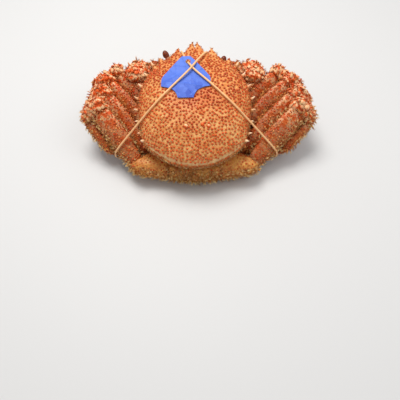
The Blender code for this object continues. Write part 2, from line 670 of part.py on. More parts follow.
def taut_run(tree, start, end, away, radius):
    """A stretched band between two points, over what lies in its way on the side that away points to."""
    chord = end - start
    along = (chord - away * chord.dot(away)).normalized()
    samples = []
    for i in range(BAND_SAMPLES + 1):
        spot = start + chord * i / BAND_SAMPLES
        if 0 < i < BAND_SAMPLES:
            spot = resting(tree, spot, away, radius)
            if spot is None:
                continue
        samples.append(((spot - start).dot(along), (spot - start).dot(away), spot))
    hull = []
    for sample in samples:
        while len(hull) > 1:
            (x1, h1, _), (x2, h2, _) = hull[-2], hull[-1]
            if (h2 - h1) * (sample[0] - x1) > (sample[1] - h1) * (x2 - x1):
                break
            hull.pop()
        hull.append(sample)
    return [spot for _, _, spot in hull]


def make_band(tree, over_tree, home, finish):
    """One closed loop: over the back in a cross, round both sides, and back to the front underneath."""
    radius = BAND_RADIUS + BAND_CLEARANCE
    crossing = resting(over_tree, BAND_CROSSING, BAND_LEAN, radius)
    route = []
    for side, rise in ((1, 0.0), (-1, 2 * BAND_RADIUS + GAP)):
        cross = crossing + BAND_LEAN * rise
        flank = resting(tree, BAND_SIDE[side], mirrored(BAND_OUTWARD, side), radius + GAP)
        chin = resting(tree, BAND_CHIN[side], (BAND_FORWARD - UP).normalized(), radius + 2 * GAP)
        start = resting(tree, BAND_FRONT[-side], UP, radius)
        end = resting(tree, BAND_FRONT[side], UP, radius)
        if side > 0:
            hole = world((TAG_HOLE.x - THREADING, TAG_HOLE.y + THREADING, TAG_LEVEL))
            below = resting(tree, hole, UP, radius)
            above = below + body_up() * (TAG_LIFT + TAG_CLEARANCE + TAG_THICKNESS + GAP)
            route += taut_run(tree, start, below, UP, radius)
            route += taut_run(over_tree, above, cross, UP, radius)[:-1]
        else:
            route += taut_run(over_tree, start, cross, UP, radius)[:-1]
        route += taut_run(over_tree, cross, flank, BAND_LEAN, radius)
        route += taut_run(tree, flank, chin, -UP, radius)[1:]
        route += taut_run(tree, chin, end, BAND_FORWARD, radius)[1:-1]
    spaced = [route[0]]
    for point in route[1:]:
        if (point - spaced[-1]).length > BAND_STEP:
            spaced.append(point)
    curve = bpy.data.curves.new("band", "CURVE")
    curve.dimensions = "3D"
    curve.bevel_depth = BAND_RADIUS * MM
    curve.bevel_resolution = BAND_ROUNDNESS
    line = curve.splines.new("POLY")
    line.points.add(len(spaced) - 1)
    line.use_cyclic_u = True
    for corner, point in zip(line.points, spaced):
        corner.co = (*(point * MM), 1)
    curve.materials.append(material("band", finish))
    obj = bpy.data.objects.new("band", curve)
    home.objects.link(obj)
    return obj


def row_of_spines(name, rows, side, rng):
    """Spines in rows along a joint, as (tip, root, radius)."""
    stations, face = LIMB_LINES[name]
    spines = []
    for degrees, count, low, high, height, radius in rows:
        turn = math.radians(degrees if side > 0 else 180 - degrees)
        for i in range(count):
            share = low + (high - low) * (i + 0.5 + rng.uniform(-SPINE_SHIFT, SPINE_SHIFT)) / count
            waver = rng.uniform(-SPINE_SHIFT, SPINE_SHIFT) / 2
            spot, out, along = limb_spot(stations, face, share, turn + waver)
            lean = along * rng.uniform(*SPINE_LEAN)
            size = rng.uniform(*SPINE_SIZES)
            spines.append((spot + (out + lean) * height * size, spot - out * SPINE_SINK, radius * size))
    return spines


def shell_grains(tree, side, rng):
    """Larger grains spread evenly over one half of the carapace."""
    grains, kept = [], []
    wide, long, middle = GRAIN_OVAL
    for _ in range(GRAIN_TRIES):
        x, y = rng.uniform(*GRAIN_ACROSS), rng.uniform(*GRAIN_ALONG)
        outside = (x / wide) ** 2 + ((y - middle) / long) ** 2 > GRAIN_LIMIT
        if outside or any(math.dist((x, y), other) < GRAIN_SPACING for other in kept):
            continue
        kept.append((x, y))
        hit, normal, _, _ = tree.ray_cast(world((x * side, y, ABOVE_ALL)) * MM, -body_up())
        hit = hit / MM
        grains.append((hit + normal * GRAIN_HEIGHT, hit - normal * SPINE_SINK, GRAIN_RADIUS))
    return grains


def has_room(spine, obstacles):
    """True if a spine stays clear of everything but its own node."""
    tip, root, radius = spine
    for share in ROOM_TESTS:
        spot = root.lerp(tip, share)
        wide = radius * (1 - share)
        for tree in obstacles:
            near = tree.find_nearest(spot * MM, (SPINE_ROOM + wide) * MM)
            if near[0] is not None:
                return False
    return tip.z > SPINE_ROOM


def grow_spines(obj, spines, trees):
    """Join to a node those of its spines that have room."""
    obstacles = [tree for name, tree in trees.items() if name != obj.name]
    kept = [spine for spine in spines if has_room(spine, obstacles)]
    if kept:
        apply_boolean(obj, [add_cone(tip, root, radius, SPINE_SIDES) for tip, root, radius in kept], "UNION")


def grow_all(objects, trees):
    rng = random.Random(SEED)
    for side in (1, -1):
        word = "right" if side > 0 else "left"
        for part, rows in CLAW_ROWS.items():
            name = f"claw_{word}_{part}"
            grow_spines(objects[name], row_of_spines(name, rows, side, rng), trees)
        for number in LEGS:
            for part in ("base", "merus", "carpus", "propodus"):
                rows = list(LEG_ROWS.get(part, []))
                if number == max(LEGS):
                    rows += LAST_LEG_ROWS.get(part, [])
                if rows:
                    name = f"leg{number}_{word}_{part}"
                    grow_spines(objects[name], row_of_spines(name, rows, side, rng), trees)
    grow_spines(objects["abdomen"], row_of_spines("abdomen", TAIL_ROWS, 1, rng), trees)
    grains = []
    for side in (1, -1):
        grains += shell_grains(trees["carapace"], side, rng)
    grow_spines(objects["carapace"], grains, trees)


def bottom_centre(objects):
    """Middle of the underside of the box round all the objects."""
    bpy.context.view_layer.update()
    deps = bpy.context.evaluated_depsgraph_get()
    corners = []
    for obj in objects:
        shape = bpy.data.meshes.new_from_object(obj.evaluated_get(deps))
        corners.extend(obj.matrix_world @ corner.co for corner in shape.vertices)
        bpy.data.meshes.remove(shape)
    low = [min(corner[i] for corner in corners) for i in range(3)]
    high = [max(corner[i] for corner in corners) for i in range(3)]
    return Vector(((low[0] + high[0]) / 2, (low[1] + high[1]) / 2, low[2]))


def main():
    reset_scene()
    home = collection("horsehair_crab")
    carapace = make_carapace(home, SHELL)
    thorax = add_object("thorax", thorax_mesh(), world((0, 0, THORAX_RINGS[0][0])), home, UNDERSIDE)
    abdomen = make_abdomen(home, UNDERSIDE)
    trim(abdomen, thorax, carapace)

    for side in (1, -1):
        word = "right" if side > 0 else "left"
        placed = body_stations(MOUTH_PLATE, side)
        plate = add_object(f"maxilliped_{word}", limb_mesh(placed, MOUTH_FACE), placed[0][0], home, UNDERSIDE)
        trim(plate, thorax, carapace)
        placed = body_stations(EYE[side], side)
        eye = add_object(f"eye_{word}", limb_mesh(placed, UP, power=1.0), placed[0][0], home, EYEBALL)
        trim(eye, carapace)
        placed = body_stations(FEELER, side)
        tube = limb_mesh(placed, UP, sides=FEELER_SIDES, power=1.0)
        feeler = add_object(f"antenna_{word}", tube, placed[0][0], home, LIMB)
        trim(feeler, carapace, thorax)
        claw = make_claw(side, home, LIMB)
        trim(claw["merus"], thorax, carapace)
        trim(claw["carpus"], claw["merus"], carapace)
        trim(claw["palm"], claw["carpus"])
        trim(claw["finger"], claw["palm"])
        stand_on_floor(claw["palm"])
        legs = {}
        for number in LEGS:
            legs[number] = make_leg(number, side, home, LIMB)
            trim(legs[number]["base"], thorax, carapace)
        trim(legs[4]["base"], abdomen)
        trim(legs[1]["merus"], claw["merus"], claw["carpus"])
        stand_on_floor(legs[4]["dactylus"])
    stand_on_floor(abdomen)

    bpy.context.view_layer.update()
    body = list(home.objects)
    tree = solid_tree(body)
    tag = make_tag(tree, home, PAPER)
    bpy.context.view_layer.update()
    band = make_band(tree, solid_tree(body + [tag]), home, RUBBER)
    bpy.context.view_layer.update()
    trees = {obj.name: solid_tree([obj]) for obj in body + [tag, band]}
    grow_all({obj.name: obj for obj in body}, trees)

    centre = bpy.data.objects.new("crab_centre", None)
    centre.location = bottom_centre(body + [tag, band]) * -1
    home.objects.link(centre)
    for obj in body + [tag, band]:
        obj.parent = centre


main()
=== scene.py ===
# %% [markdown]
# # A boiled horsehair crab
# The real animal is a hairy crab about the size of two hands, boiled orange, with its legs folded under it
# and a rubber band over its back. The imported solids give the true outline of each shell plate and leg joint.
# This script grows a finer shell from each solid, then covers it with grains and bristles, and gives every
# surface a finish of its own.

# %% Load the frame
import math

import bmesh
import bpy
import numpy as np
from mathutils import Matrix, Vector, kdtree
from mathutils.bvhtree import BVHTree


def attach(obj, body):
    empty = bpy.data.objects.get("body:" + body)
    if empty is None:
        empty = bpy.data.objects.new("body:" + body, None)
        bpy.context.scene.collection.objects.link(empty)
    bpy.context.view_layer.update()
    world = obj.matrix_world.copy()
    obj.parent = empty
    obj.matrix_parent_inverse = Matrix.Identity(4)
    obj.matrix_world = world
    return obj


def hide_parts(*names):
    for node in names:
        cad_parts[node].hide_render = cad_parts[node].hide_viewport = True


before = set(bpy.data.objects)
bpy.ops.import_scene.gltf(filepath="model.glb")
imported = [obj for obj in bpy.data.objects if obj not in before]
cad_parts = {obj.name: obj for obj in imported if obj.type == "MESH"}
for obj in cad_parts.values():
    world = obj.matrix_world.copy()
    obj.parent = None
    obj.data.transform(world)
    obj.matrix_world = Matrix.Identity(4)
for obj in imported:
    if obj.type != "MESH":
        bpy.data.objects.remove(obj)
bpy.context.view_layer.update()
MM = 0.001
SIDES = ("right", "left")
LEG_NUMBERS = (1, 2, 3, 4)
print("packed nodes:", len(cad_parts))

# %% [markdown]
# ## Camera, floor and light
# The picture was taken from behind and above with a moderate lens, so the camera looks down by 60 degrees.
# A large pale floor and two wide lamps give the soft shadows of a photographer's tent.

# %% Camera, floor and light
CAMERA_PLACE = (0.000956, -0.248582, 0.3146)
CAMERA_TILT = math.radians(29.5)
CAMERA_LENS = 38.34
FLOOR_TONE = 0.69
LIT_PLACE = (0, 0, 0.03)
KEY_PLACE = (-0.14, 0.20, 0.78)
FILL_PLACE = (0.55, 0.0, 0.7)
SKY_STRENGTH = 0.44


def set_camera():
    camera = bpy.data.objects.new("camera", bpy.data.cameras.new("camera"))
    bpy.context.scene.collection.objects.link(camera)
    camera.location = CAMERA_PLACE
    camera.rotation_euler = (CAMERA_TILT, 0, 0)
    camera.data.lens = CAMERA_LENS
    camera.data.clip_start = 0.01
    bpy.context.scene.camera = camera


def add_lamp(name, place, size, power, colour=(1, 1, 1)):
    lamp = bpy.data.objects.new(name, bpy.data.lights.new(name, "AREA"))
    bpy.context.scene.collection.objects.link(lamp)
    lamp.location = place
    lamp.rotation_euler = (Vector(place) - Vector(LIT_PLACE)).to_track_quat("Z", "Y").to_euler()
    lamp.data.size = size
    lamp.data.energy = power
    lamp.data.color = colour


def plain_material(name, colour, roughness):
    made = bpy.data.materials.new(name)
    made.use_nodes = True
    shader = made.node_tree.nodes["Principled BSDF"]
    shader.inputs["Base Color"].default_value = (*colour, 1)
    shader.inputs["Roughness"].default_value = roughness
    return made


def lay_floor():
    bpy.ops.object.select_all(action="DESELECT")
    bpy.ops.mesh.primitive_plane_add(size=6, location=(0, 0, 0))
    floor = bpy.context.active_object
    floor.name = "floor"
    floor.data.materials.append(plain_material("pale_floor", (FLOOR_TONE,) * 3, 0.6))


set_camera()
lay_floor()
add_lamp("key", KEY_PLACE, size=0.4, power=5.6, colour=(1.0, 0.98, 0.95))
add_lamp("fill", FILL_PLACE, size=0.6, power=1.4)
sky = bpy.data.worlds.new("tent")
bpy.context.scene.world = sky
sky.use_nodes = True
sky.node_tree.nodes["Background"].inputs["Color"].default_value = (1, 1, 1, 1)
sky.node_tree.nodes["Background"].inputs["Strength"].default_value = SKY_STRENGTH
bpy.context.scene.view_settings.view_transform = "Standard"
print("camera at", CAMERA_PLACE)

# %% [markdown]
# ## Colours that run over the whole animal
# Boiled shell is never one colour: it is redder at the front, the knees and the claws, paler and browner at
# the rear, and mottled everywhere. A darker red patch in the middle of the back, just behind the tag, is
# partly the shell's own red and partly painted shadow of the tag. One node group turns a place on the animal
# into these masks, so that the shell and the bristles that grow on it always agree.

# %% Group: where it is red, with the tag's painted shadow, and how it is mottled


def new_group(name, inputs, outputs):
    """An empty shader group with float inputs, each with its usual value, and float outputs."""
    group = bpy.data.node_groups.new(name, "ShaderNodeTree")
    for label, value in inputs.items():
        socket = group.interface.new_socket(label, in_out="INPUT", socket_type="NodeSocketFloat")
        socket.default_value = value
    for label in outputs:
        group.interface.new_socket(label, in_out="OUTPUT", socket_type="NodeSocketFloat")
    return group, group.nodes.new("NodeGroupInput"), group.nodes.new("NodeGroupOutput")


def feed(tree, socket, value):
    """Sets a socket to a number or a colour, or links it to another node's output."""
    if isinstance(value, (int, float)):
        socket.default_value = value
    elif isinstance(value, tuple):
        socket.default_value = (*value, 1)
    else:
        tree.links.new(value, socket)


def math_node(tree, operation, first, second, clamp=False):
    node = tree.nodes.new("ShaderNodeMath")
    node.operation = operation
    node.use_clamp = clamp
    feed(tree, node.inputs[0], first)
    feed(tree, node.inputs[1], second)
    return node.outputs[0]


def scaled(tree, value, factor, offset):
    return math_node(tree, "ADD", math_node(tree, "MULTIPLY", value, factor), offset)


def own_place(tree):
    """The place on the animal, in metres."""
    return tree.nodes.new("ShaderNodeTexCoord").outputs["Object"]


def noise_node(tree, vector, scale, detail=3.0, roughness=0.55):
    node = tree.nodes.new("ShaderNodeTexNoise")
    feed(tree, node.inputs["Scale"], scale)
    node.inputs["Detail"].default_value = detail
    node.inputs["Roughness"].default_value = roughness
    tree.links.new(vector, node.inputs["Vector"])
    return node.outputs["Fac"]


def stretch(tree, value, low, high):
    """value from low..high spread over 0..1."""
    node = tree.nodes.new("ShaderNodeMapRange")
    tree.links.new(value, node.inputs["Value"])
    node.inputs["From Min"].default_value = low
    node.inputs["From Max"].default_value = high
    return node.outputs["Result"]


SCALES = {"Mottle Scale": 180.0, "Grain Scale": 900.0}
MASKS = ("Red", "Mottle", "Blotch", "Grain")
MOTTLE_SPREAD = (0.35, 0.68)
BLOTCH_SCALE = 260.0
BLOTCH_SPREAD = (0.44, 0.56)
CLOUD_SCALE = 35.0
FORWARD_RISE = (-0.05, 0.03)
FORWARD_FALL = (0.06, 0.02)
FORWARD_RED = 0.42
KNEES_FROM = (0.055, 0.095)
TOPS_FROM = (0.025, 0.05)
TOPS_RED = 0.5
RED_PATCH_SHADOW_LEVEL = -0.015
RED_PATCH_SHADOW_NARROW = 0.45
RED_PATCH_SHADOW_REACH = (0.014, 0.003)
RED_PATCH_SHADOW_RED = 0.6


def make_blush_group():
    """Masks from the place on the animal: how red it is, with a painted shadow of the tag, coarse mottling and
    fine grain.
    """
    group, entry, leave = new_group("boiled_blush", SCALES, MASKS)
    where = own_place(group)
    split = group.nodes.new("ShaderNodeSeparateXYZ")
    group.links.new(where, split.inputs[0])
    across, level, height = split.outputs
    forward = math_node(group, "MULTIPLY", stretch(group, level, *FORWARD_RISE),
                        stretch(group, level, *FORWARD_FALL))
    knees = stretch(group, math_node(group, "ABSOLUTE", across, 0.0), *KNEES_FROM)
    tops = math_node(group, "MULTIPLY", knees, stretch(group, height, *TOPS_FROM))
    red = math_node(group, "ADD", math_node(group, "MULTIPLY", forward, FORWARD_RED),
                    math_node(group, "MULTIPLY", tops, TOPS_RED))
    # A darker red patch just behind the tag: partly the shell's own red, partly painted shadow of the tag.
    aside = math_node(group, "MULTIPLY", across, RED_PATCH_SHADOW_NARROW)
    ahead = math_node(group, "SUBTRACT", level, RED_PATCH_SHADOW_LEVEL)
    far = math_node(group, "SQRT", math_node(group, "ADD", math_node(group, "MULTIPLY", aside, aside),
                                             math_node(group, "MULTIPLY", ahead, ahead)), 0.0)
    patch_shadow = math_node(group, "MULTIPLY", stretch(group, far, *RED_PATCH_SHADOW_REACH), RED_PATCH_SHADOW_RED)
    red = math_node(group, "ADD", red, patch_shadow)
    clouds = noise_node(group, where, CLOUD_SCALE, 2.0)
    red = math_node(group, "ADD", red, math_node(group, "SUBTRACT", clouds, 0.5))
    masks = {
        "Red": math_node(group, "ADD", red, 0.0, clamp=True),
        "Mottle": stretch(group, noise_node(group, where, entry.outputs["Mottle Scale"]), *MOTTLE_SPREAD),
        "Blotch": stretch(group, noise_node(group, where, BLOTCH_SCALE, 1.0), *BLOTCH_SPREAD),
        "Grain": noise_node(group, where, entry.outputs["Grain Scale"], 2.0),
    }
    for label, mask in masks.items():
        group.links.new(mask, leave.inputs[label])
    return group


BLUSH = make_blush_group()
print("group", BLUSH.name, "has", len(BLUSH.nodes), "nodes")

# %% [markdown]
# ## The shell finish
# The shell is hard, thin and slightly waxy after boiling. It takes its colour from the masks of the group,
# through three tones: a pale ground, a warm middle and a red. Fine grain goes into the roughness and a bump.

# %% Shell finish


def mix_colours(tree, factor, first, second):
    node = tree.nodes.new("ShaderNodeMix")
    node.data_type = "RGBA"
    tree.links.new(factor, node.inputs["Factor"])
    feed(tree, node.inputs["A"], first)
    feed(tree, node.inputs["B"], second)
    return node.outputs["Result"]


def read_value(tree, name):
    node = tree.nodes.new("ShaderNodeAttribute")
    node.attribute_name = name
    return node.outputs["Fac"]


def add_bump(tree, height, strength, distance):
    bump = tree.nodes.new("ShaderNodeBump")
    bump.inputs["Strength"].default_value = strength
    bump.inputs["Distance"].default_value = distance
    tree.links.new(height, bump.inputs["Height"])
    return bump.outputs["Normal"]


def blushed(tree, tones, scales=SCALES):
    """The group's masks, and the shell colour that they make of three tones: ground, warm and red."""
    masks = tree.nodes.new("ShaderNodeGroup")
    masks.node_tree = BLUSH
    for label, value in scales.items():
        masks.inputs[label].default_value = value
    colour = mix_colours(tree, masks.outputs["Mottle"], tones[0], tones[1])
    return masks.outputs, mix_colours(tree, masks.outputs["Red"], colour, tones[2])


SHELL_GLOSS = 0.25


def start_finish(name, colour, roughness, gloss=SHELL_GLOSS):
    """A material with its node tree and its shader, ready for links."""
    made = plain_material(name, colour, roughness)
    shader = made.node_tree.nodes["Principled BSDF"]
    shader.inputs["Specular IOR Level"].default_value = gloss
    return made, made.node_tree, shader


SHELL_ROUGHNESS = 0.42
GRAIN_ROUGHNESS = 0.3
SPECKLE_FROM = (0.5, 0.62)
SPECKLE = 0.6
SHELL_BUMP = (0.35, 0.0004)


def shell_finish(name, tones, stain=None, rim=None, knob=None):
    """Shell of three tones; painted values turn it to a stain, a rim colour or the knees' two blotches."""
    made, tree, shader = start_finish(name, tones[0], SHELL_ROUGHNESS)
    masks, base = blushed(tree, tones)
    speckle = math_node(tree, "MULTIPLY", stretch(tree, masks["Grain"], *SPECKLE_FROM), SPECKLE)
    base = mix_colours(tree, speckle, base, tones[1])
    if stain:
        base = mix_colours(tree, read_value(tree, "stain"), base, stain)
    if rim:
        base = mix_colours(tree, read_value(tree, "rim"), base, rim)
    if knob:
        base = mix_colours(tree, read_value(tree, "knob"), base, mix_colours(tree, masks["Blotch"], *knob))
    tree.links.new(base, shader.inputs["Base Color"])
    rough = scaled(tree, masks["Grain"], GRAIN_ROUGHNESS, SHELL_ROUGHNESS - GRAIN_ROUGHNESS / 2)
    tree.links.new(rough, shader.inputs["Roughness"])
    tree.links.new(add_bump(tree, masks["Grain"], *SHELL_BUMP), shader.inputs["Normal"])
    return made


CARAPACE_TONES = ((0.90, 0.53, 0.20), (0.68, 0.24, 0.055), (0.70, 0.15, 0.025))
LEG_TONES = ((0.50, 0.145, 0.024), (0.27, 0.035, 0.006), (0.56, 0.055, 0.006))
REAR_TONES = ((0.88, 0.48, 0.12), (0.54, 0.17, 0.035), (0.66, 0.17, 0.03))
UNDER_TONES = ((0.80, 0.55, 0.30), (0.72, 0.42, 0.2), (0.6, 0.25, 0.1))
KNOB_TONES = ((0.90, 0.54, 0.28), (0.74, 0.11, 0.015))
STAIN_TONE = (0.46, 0.06, 0.012)
RIM_TONE = (0.80, 0.55, 0.27)
CARAPACE_FINISH = shell_finish("carapace_shell", CARAPACE_TONES, stain=STAIN_TONE, rim=RIM_TONE)
LEG_FINISH = shell_finish("leg_shell", LEG_TONES, knob=KNOB_TONES)
REAR_FINISH = shell_finish("rear_shell", REAR_TONES)
UNDER_FINISH = shell_finish("under_shell", UNDER_TONES)
print("shell finishes ready")

# %% [markdown]
# ## A finer plate from each solid
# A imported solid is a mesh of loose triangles, so a copy of it is merged, its flat pairs of triangles become
# quads, its sharp rims are creased, and two or three subdivisions round it off. It keeps the solid's place.

# %% Plates
MERGE_GAP = 0.00002
FLAT_ANGLE = math.radians(40)
QUAD_SKEW = math.radians(60)
UNWRAP_ANGLE = math.radians(66)


def pick_only(piece):
    bpy.ops.object.select_all(action="DESELECT")
    piece.select_set(True)
    bpy.context.view_layer.objects.active = piece


def open_all(piece):
    """Opens a piece for editing with all of it selected."""
    pick_only(piece)
    bpy.ops.object.mode_set(mode="EDIT")
    bpy.ops.mesh.select_all(action="SELECT")


def use_modifier(piece, kind, **values):
    """Adds a modifier, sets it and applies it."""
    pick_only(piece)
    change = piece.modifiers.new(kind.lower(), kind)
    for key, value in values.items():
        setattr(change, key, value)
    bpy.ops.object.modifier_apply(modifier=change.name)


def round_plate(node, rim_angle=50, rim=0.55, levels=2):
    """A copy of a solid, merged, creased at its rims and rounded by subdivision."""
    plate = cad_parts[node].copy()
    plate.data = plate.data.copy()
    plate.name = node + "_shell"
    plate.parent = None
    for key in list(plate.keys()):
        del plate[key]
    bpy.context.scene.collection.objects.link(plate)
    open_all(plate)
    bpy.ops.mesh.remove_doubles(threshold=MERGE_GAP)
    bpy.ops.mesh.tris_convert_to_quads(face_threshold=FLAT_ANGLE, shape_threshold=QUAD_SKEW)
    bpy.ops.mesh.select_all(action="DESELECT")
    bpy.ops.mesh.select_mode(type="EDGE")
    bpy.ops.mesh.edges_select_sharp(sharpness=math.radians(rim_angle))
    bpy.ops.transform.edge_crease(value=rim)
    bpy.ops.mesh.select_all(action="SELECT")
    bpy.ops.uv.smart_project(angle_limit=UNWRAP_ANGLE, island_margin=0.02)
    bpy.ops.object.mode_set(mode="OBJECT")
    if levels:
        use_modifier(plate, "SUBSURF", levels=levels, render_levels=levels)
    bpy.ops.object.shade_smooth()
    return plate


def finish_plate(plate, node, finish):
    plate.data.materials.clear()
    plate.data.materials.append(finish)
    for face in plate.data.polygons:
        face.material_index = 0
    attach(plate, "root")
    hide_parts(node)


PLATES = {}
for node in sorted(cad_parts):
    if node in ("band", "tag") or node.startswith("eye"):
        continue
    PLATES[node] = round_plate(node, levels=3 if node == "carapace" else 2)
    finish = LEG_FINISH
    if node == "carapace":
        finish = CARAPACE_FINISH
    elif node == "abdomen" or node.startswith("leg4") and node.endswith("base"):
        finish = REAR_FINISH
    elif node.startswith(("thorax", "maxilliped")):
        finish = UNDER_FINISH
    finish_plate(PLATES[node], node, finish)
print("plates:", len(PLATES), "faces:", sum(len(p.data.polygons) for p in PLATES.values()))

# %% [markdown]
# ## Reading and moving points
# Shapes are changed and measured many points at a time, so a few helpers turn a mesh's points, normals and
# unwrap into arrays, and give points new places or a painted value.

# %% Helper: meshes as arrays


def read_array(entries, name, width, kind=float):
    """One row of values for each point, edge, corner or triangle."""
    flat = np.empty(len(entries) * width, dtype=kind)
    entries.foreach_get(name, flat)
    return flat.reshape(-1, width)


def points_of(piece):
    return read_array(piece.data.vertices, "co", 3)


def normals_of(piece):
    return read_array(piece.data.vertices, "normal", 3)


def unwrap_of(piece):
    """The place on the unwrap of each face corner."""
    return read_array(piece.data.uv_layers.active.data, "uv", 2)


def move(piece, places):
    """Gives a mesh's points new places."""
    piece.data.vertices.foreach_set("co", places.ravel())
    piece.data.update()


def paint(piece, name, values):
    """Stores one value a point on a mesh, for its material to read."""
    layer = piece.data.attributes.new(name, "FLOAT", "POINT")
    layer.data.foreach_set("value", np.asarray(values, dtype=np.float32))


print("points of the carapace:", len(points_of(PLATES["carapace"])))

# %% [markdown]
# ## Eyes
# A crab's eye is a dark glossy bead on a short pink stalk. One mesh holds both, so a value painted on its
# points, from how far each lies from the middle of the bead, tells the material where the bead ends. The bead
# is stretched into an egg that leans forwards and outwards, and the right eye sits lower, half hidden.

# %% Eyes
EYE_DARK = (0.06, 0.010, 0.004)
EYE_WARM = (0.38, 0.07, 0.015)
STALK = (0.62, 0.25, 0.14)
FACET_SCALE = 1500.0
TIP_PERCENT = 70
BEAD_REACH = 3.7 * MM
BEAD_EDGE = 0.5 * MM
BEAD_LEAN = (0.4, 0.55, 0.7)
BEAD_STRETCH = 0.4
EYE_SUNK = {"left": -0.4 * MM, "right": 1.6 * MM}


def eye_finish():
    made, tree, shader = start_finish("eye_bead", EYE_DARK, 0.3)
    facets = noise_node(tree, own_place(tree), FACET_SCALE, 2.0)
    bead = mix_colours(tree, stretch(tree, facets, 0.4, 0.7), EYE_DARK, EYE_WARM)
    tree.links.new(mix_colours(tree, read_value(tree, "stalk"), bead, STALK), shader.inputs["Base Color"])
    tree.links.new(add_bump(tree, facets, 0.15, 0.0001), shader.inputs["Normal"])
    return made


EYE_FINISH = eye_finish()
for side in SIDES:
    node = "eye_" + side
    eye = round_plate(node, rim=0.2)
    places = points_of(eye)
    tip_level = np.percentile(places[:, 2], TIP_PERCENT)
    middle = places[places[:, 2] > tip_level].mean(axis=0)
    far = np.linalg.norm(places - middle, axis=1)
    stalk = np.clip((far - BEAD_REACH) / BEAD_EDGE, 0, 1)
    paint(eye, "stalk", stalk)
    lean = np.array(BEAD_LEAN) * (1 if side == "right" else -1, 1, 1)
    rise = (1 - stalk) * ((places - middle) @ lean) / (lean @ lean)
    move(eye, places + BEAD_STRETCH * rise[:, None] * lean - (0, 0, EYE_SUNK[side]))
    finish_plate(eye, node, EYE_FINISH)
    print(node, "bead near", [round(v / MM, 1) for v in middle])

# %% [markdown]
# ## Tag and band
# The tag is a piece of coated blue paper that has been folded and pressed, with small creases that catch the
# light, and it stays bare here. The creases are real moves of the mesh, not bump, because a crease shows at
# the paper's edge as well. The shade of its crumpled facets is painted into the blue, facet by facet, and is
# stronger towards the tag's rear edge. The rubber band is a thin strand, so its solid is only rounded.

# %% Tag and band
CREASES = ((0.9, 0.35, 0.0028, 0.36), (-0.35, 0.9, 0.0009, 0.34), (0.6, -0.8, -0.0035, 0.30),
           (1.0, 0.05, -0.0075, 0.36), (0.2, 1.0, 0.0078, 0.36), (0.15, 1.0, -0.0088, 0.50),
           (0.8, 0.6, -0.0062, 0.40))
CREASE_WIDTH = 0.5 * MM
PAPER_BLUE = (0.10, 0.20, 0.72)
PAPER_PAINTED_SHADE = (0.04, 0.09, 0.50)
FACET_SHADE_SCALE = 260.0
FACET_SHADE_FROM = (0.012, -0.012)
PAPER_GRAIN_SCALE = 1400.0
PAPER_WAVE_SCALE = 420.0
RUBBER_TONES = ((0.88, 0.43, 0.17), (0.96, 0.60, 0.30))
DUST_SCALE = 1100.0


def crease_paper(paper):
    """Pulls low ridges along straight lines over the paper: direction, offset and height in mm."""
    places = points_of(paper)
    middle = places.mean(axis=0)
    lift = np.zeros(len(places))
    for across, along, offset, height in CREASES:
        away = (places[:, 0] - middle[0]) * across + (places[:, 1] - middle[1]) * along
        lift += height * MM * np.exp(-np.abs(away / math.hypot(across, along) - offset) / CREASE_WIDTH)
    places[:, 2] += lift
    move(paper, places)


def paper_finish():
    made, tree, shader = start_finish("blue_paper", PAPER_BLUE, 0.5)
    where = own_place(tree)
    # Painted shade: Voronoi cells darken the blue facet by facet, more towards the tag's rear edge, as
    # crumpled facets turned from the light.
    facets = tree.nodes.new("ShaderNodeTexVoronoi")
    facets.inputs["Scale"].default_value = FACET_SHADE_SCALE
    tree.links.new(where, facets.inputs["Vector"])
    split = tree.nodes.new("ShaderNodeSeparateXYZ")
    tree.links.new(where, split.inputs[0])
    facet_shade_reach = stretch(tree, split.outputs["Y"], *FACET_SHADE_FROM)
    tones = stretch(tree, facets.outputs["Color"], 0.1, 0.9)
    share = math_node(tree, "MULTIPLY", tones, facet_shade_reach, clamp=True)
    tree.links.new(mix_colours(tree, share, PAPER_BLUE, PAPER_PAINTED_SHADE), shader.inputs["Base Color"])
    grain = noise_node(tree, where, PAPER_GRAIN_SCALE)
    tree.links.new(scaled(tree, grain, 0.25, 0.38), shader.inputs["Roughness"])
    waves = noise_node(tree, where, PAPER_WAVE_SCALE)
    tree.links.new(add_bump(tree, waves, 0.4, 0.0003), shader.inputs["Normal"])
    return made


def rubber_finish():
    made, tree, shader = start_finish("peach_rubber", RUBBER_TONES[0], 0.38, gloss=0.5)
    dust = noise_node(tree, own_place(tree), DUST_SCALE)
    tone = mix_colours(tree, stretch(tree, dust, 0.3, 0.7), *RUBBER_TONES)
    tree.links.new(tone, shader.inputs["Base Color"])
    tree.links.new(scaled(tree, dust, 0.3, 0.22), shader.inputs["Roughness"])
    tree.links.new(add_bump(tree, dust, 0.2, 0.0001), shader.inputs["Normal"])
    return made


tag = round_plate("tag", rim=1.0, levels=1)
open_all(tag)
bpy.ops.mesh.subdivide(number_cuts=3)
bpy.ops.object.mode_set(mode="OBJECT")
crease_paper(tag)
pick_only(tag)
bpy.ops.object.shade_smooth_by_angle(angle=math.radians(30))
finish_plate(tag, "tag", paper_finish())
band = round_plate("band", rim=0.0, levels=1)
finish_plate(band, "band", rubber_finish())
print("tag faces:", len(tag.data.polygons), "band faces:", len(band.data.polygons))

# %% [markdown]
# ## Where things grow
# Grains, spines and bristles are scattered by throwing darts: random spots on a plate, each kept only if no
# earlier one is too near. The unwrap of the plate tells each spot its place on a flat picture, which the
# bristle keeps, so that its colour can be baked at the right spot.

# %% Helper: spots on a plate
DARTS = 9


def corner_points(plate):
    """The three points of each triangle."""
    return read_array(plate.data.loop_triangles, "vertices", 3, np.int32)


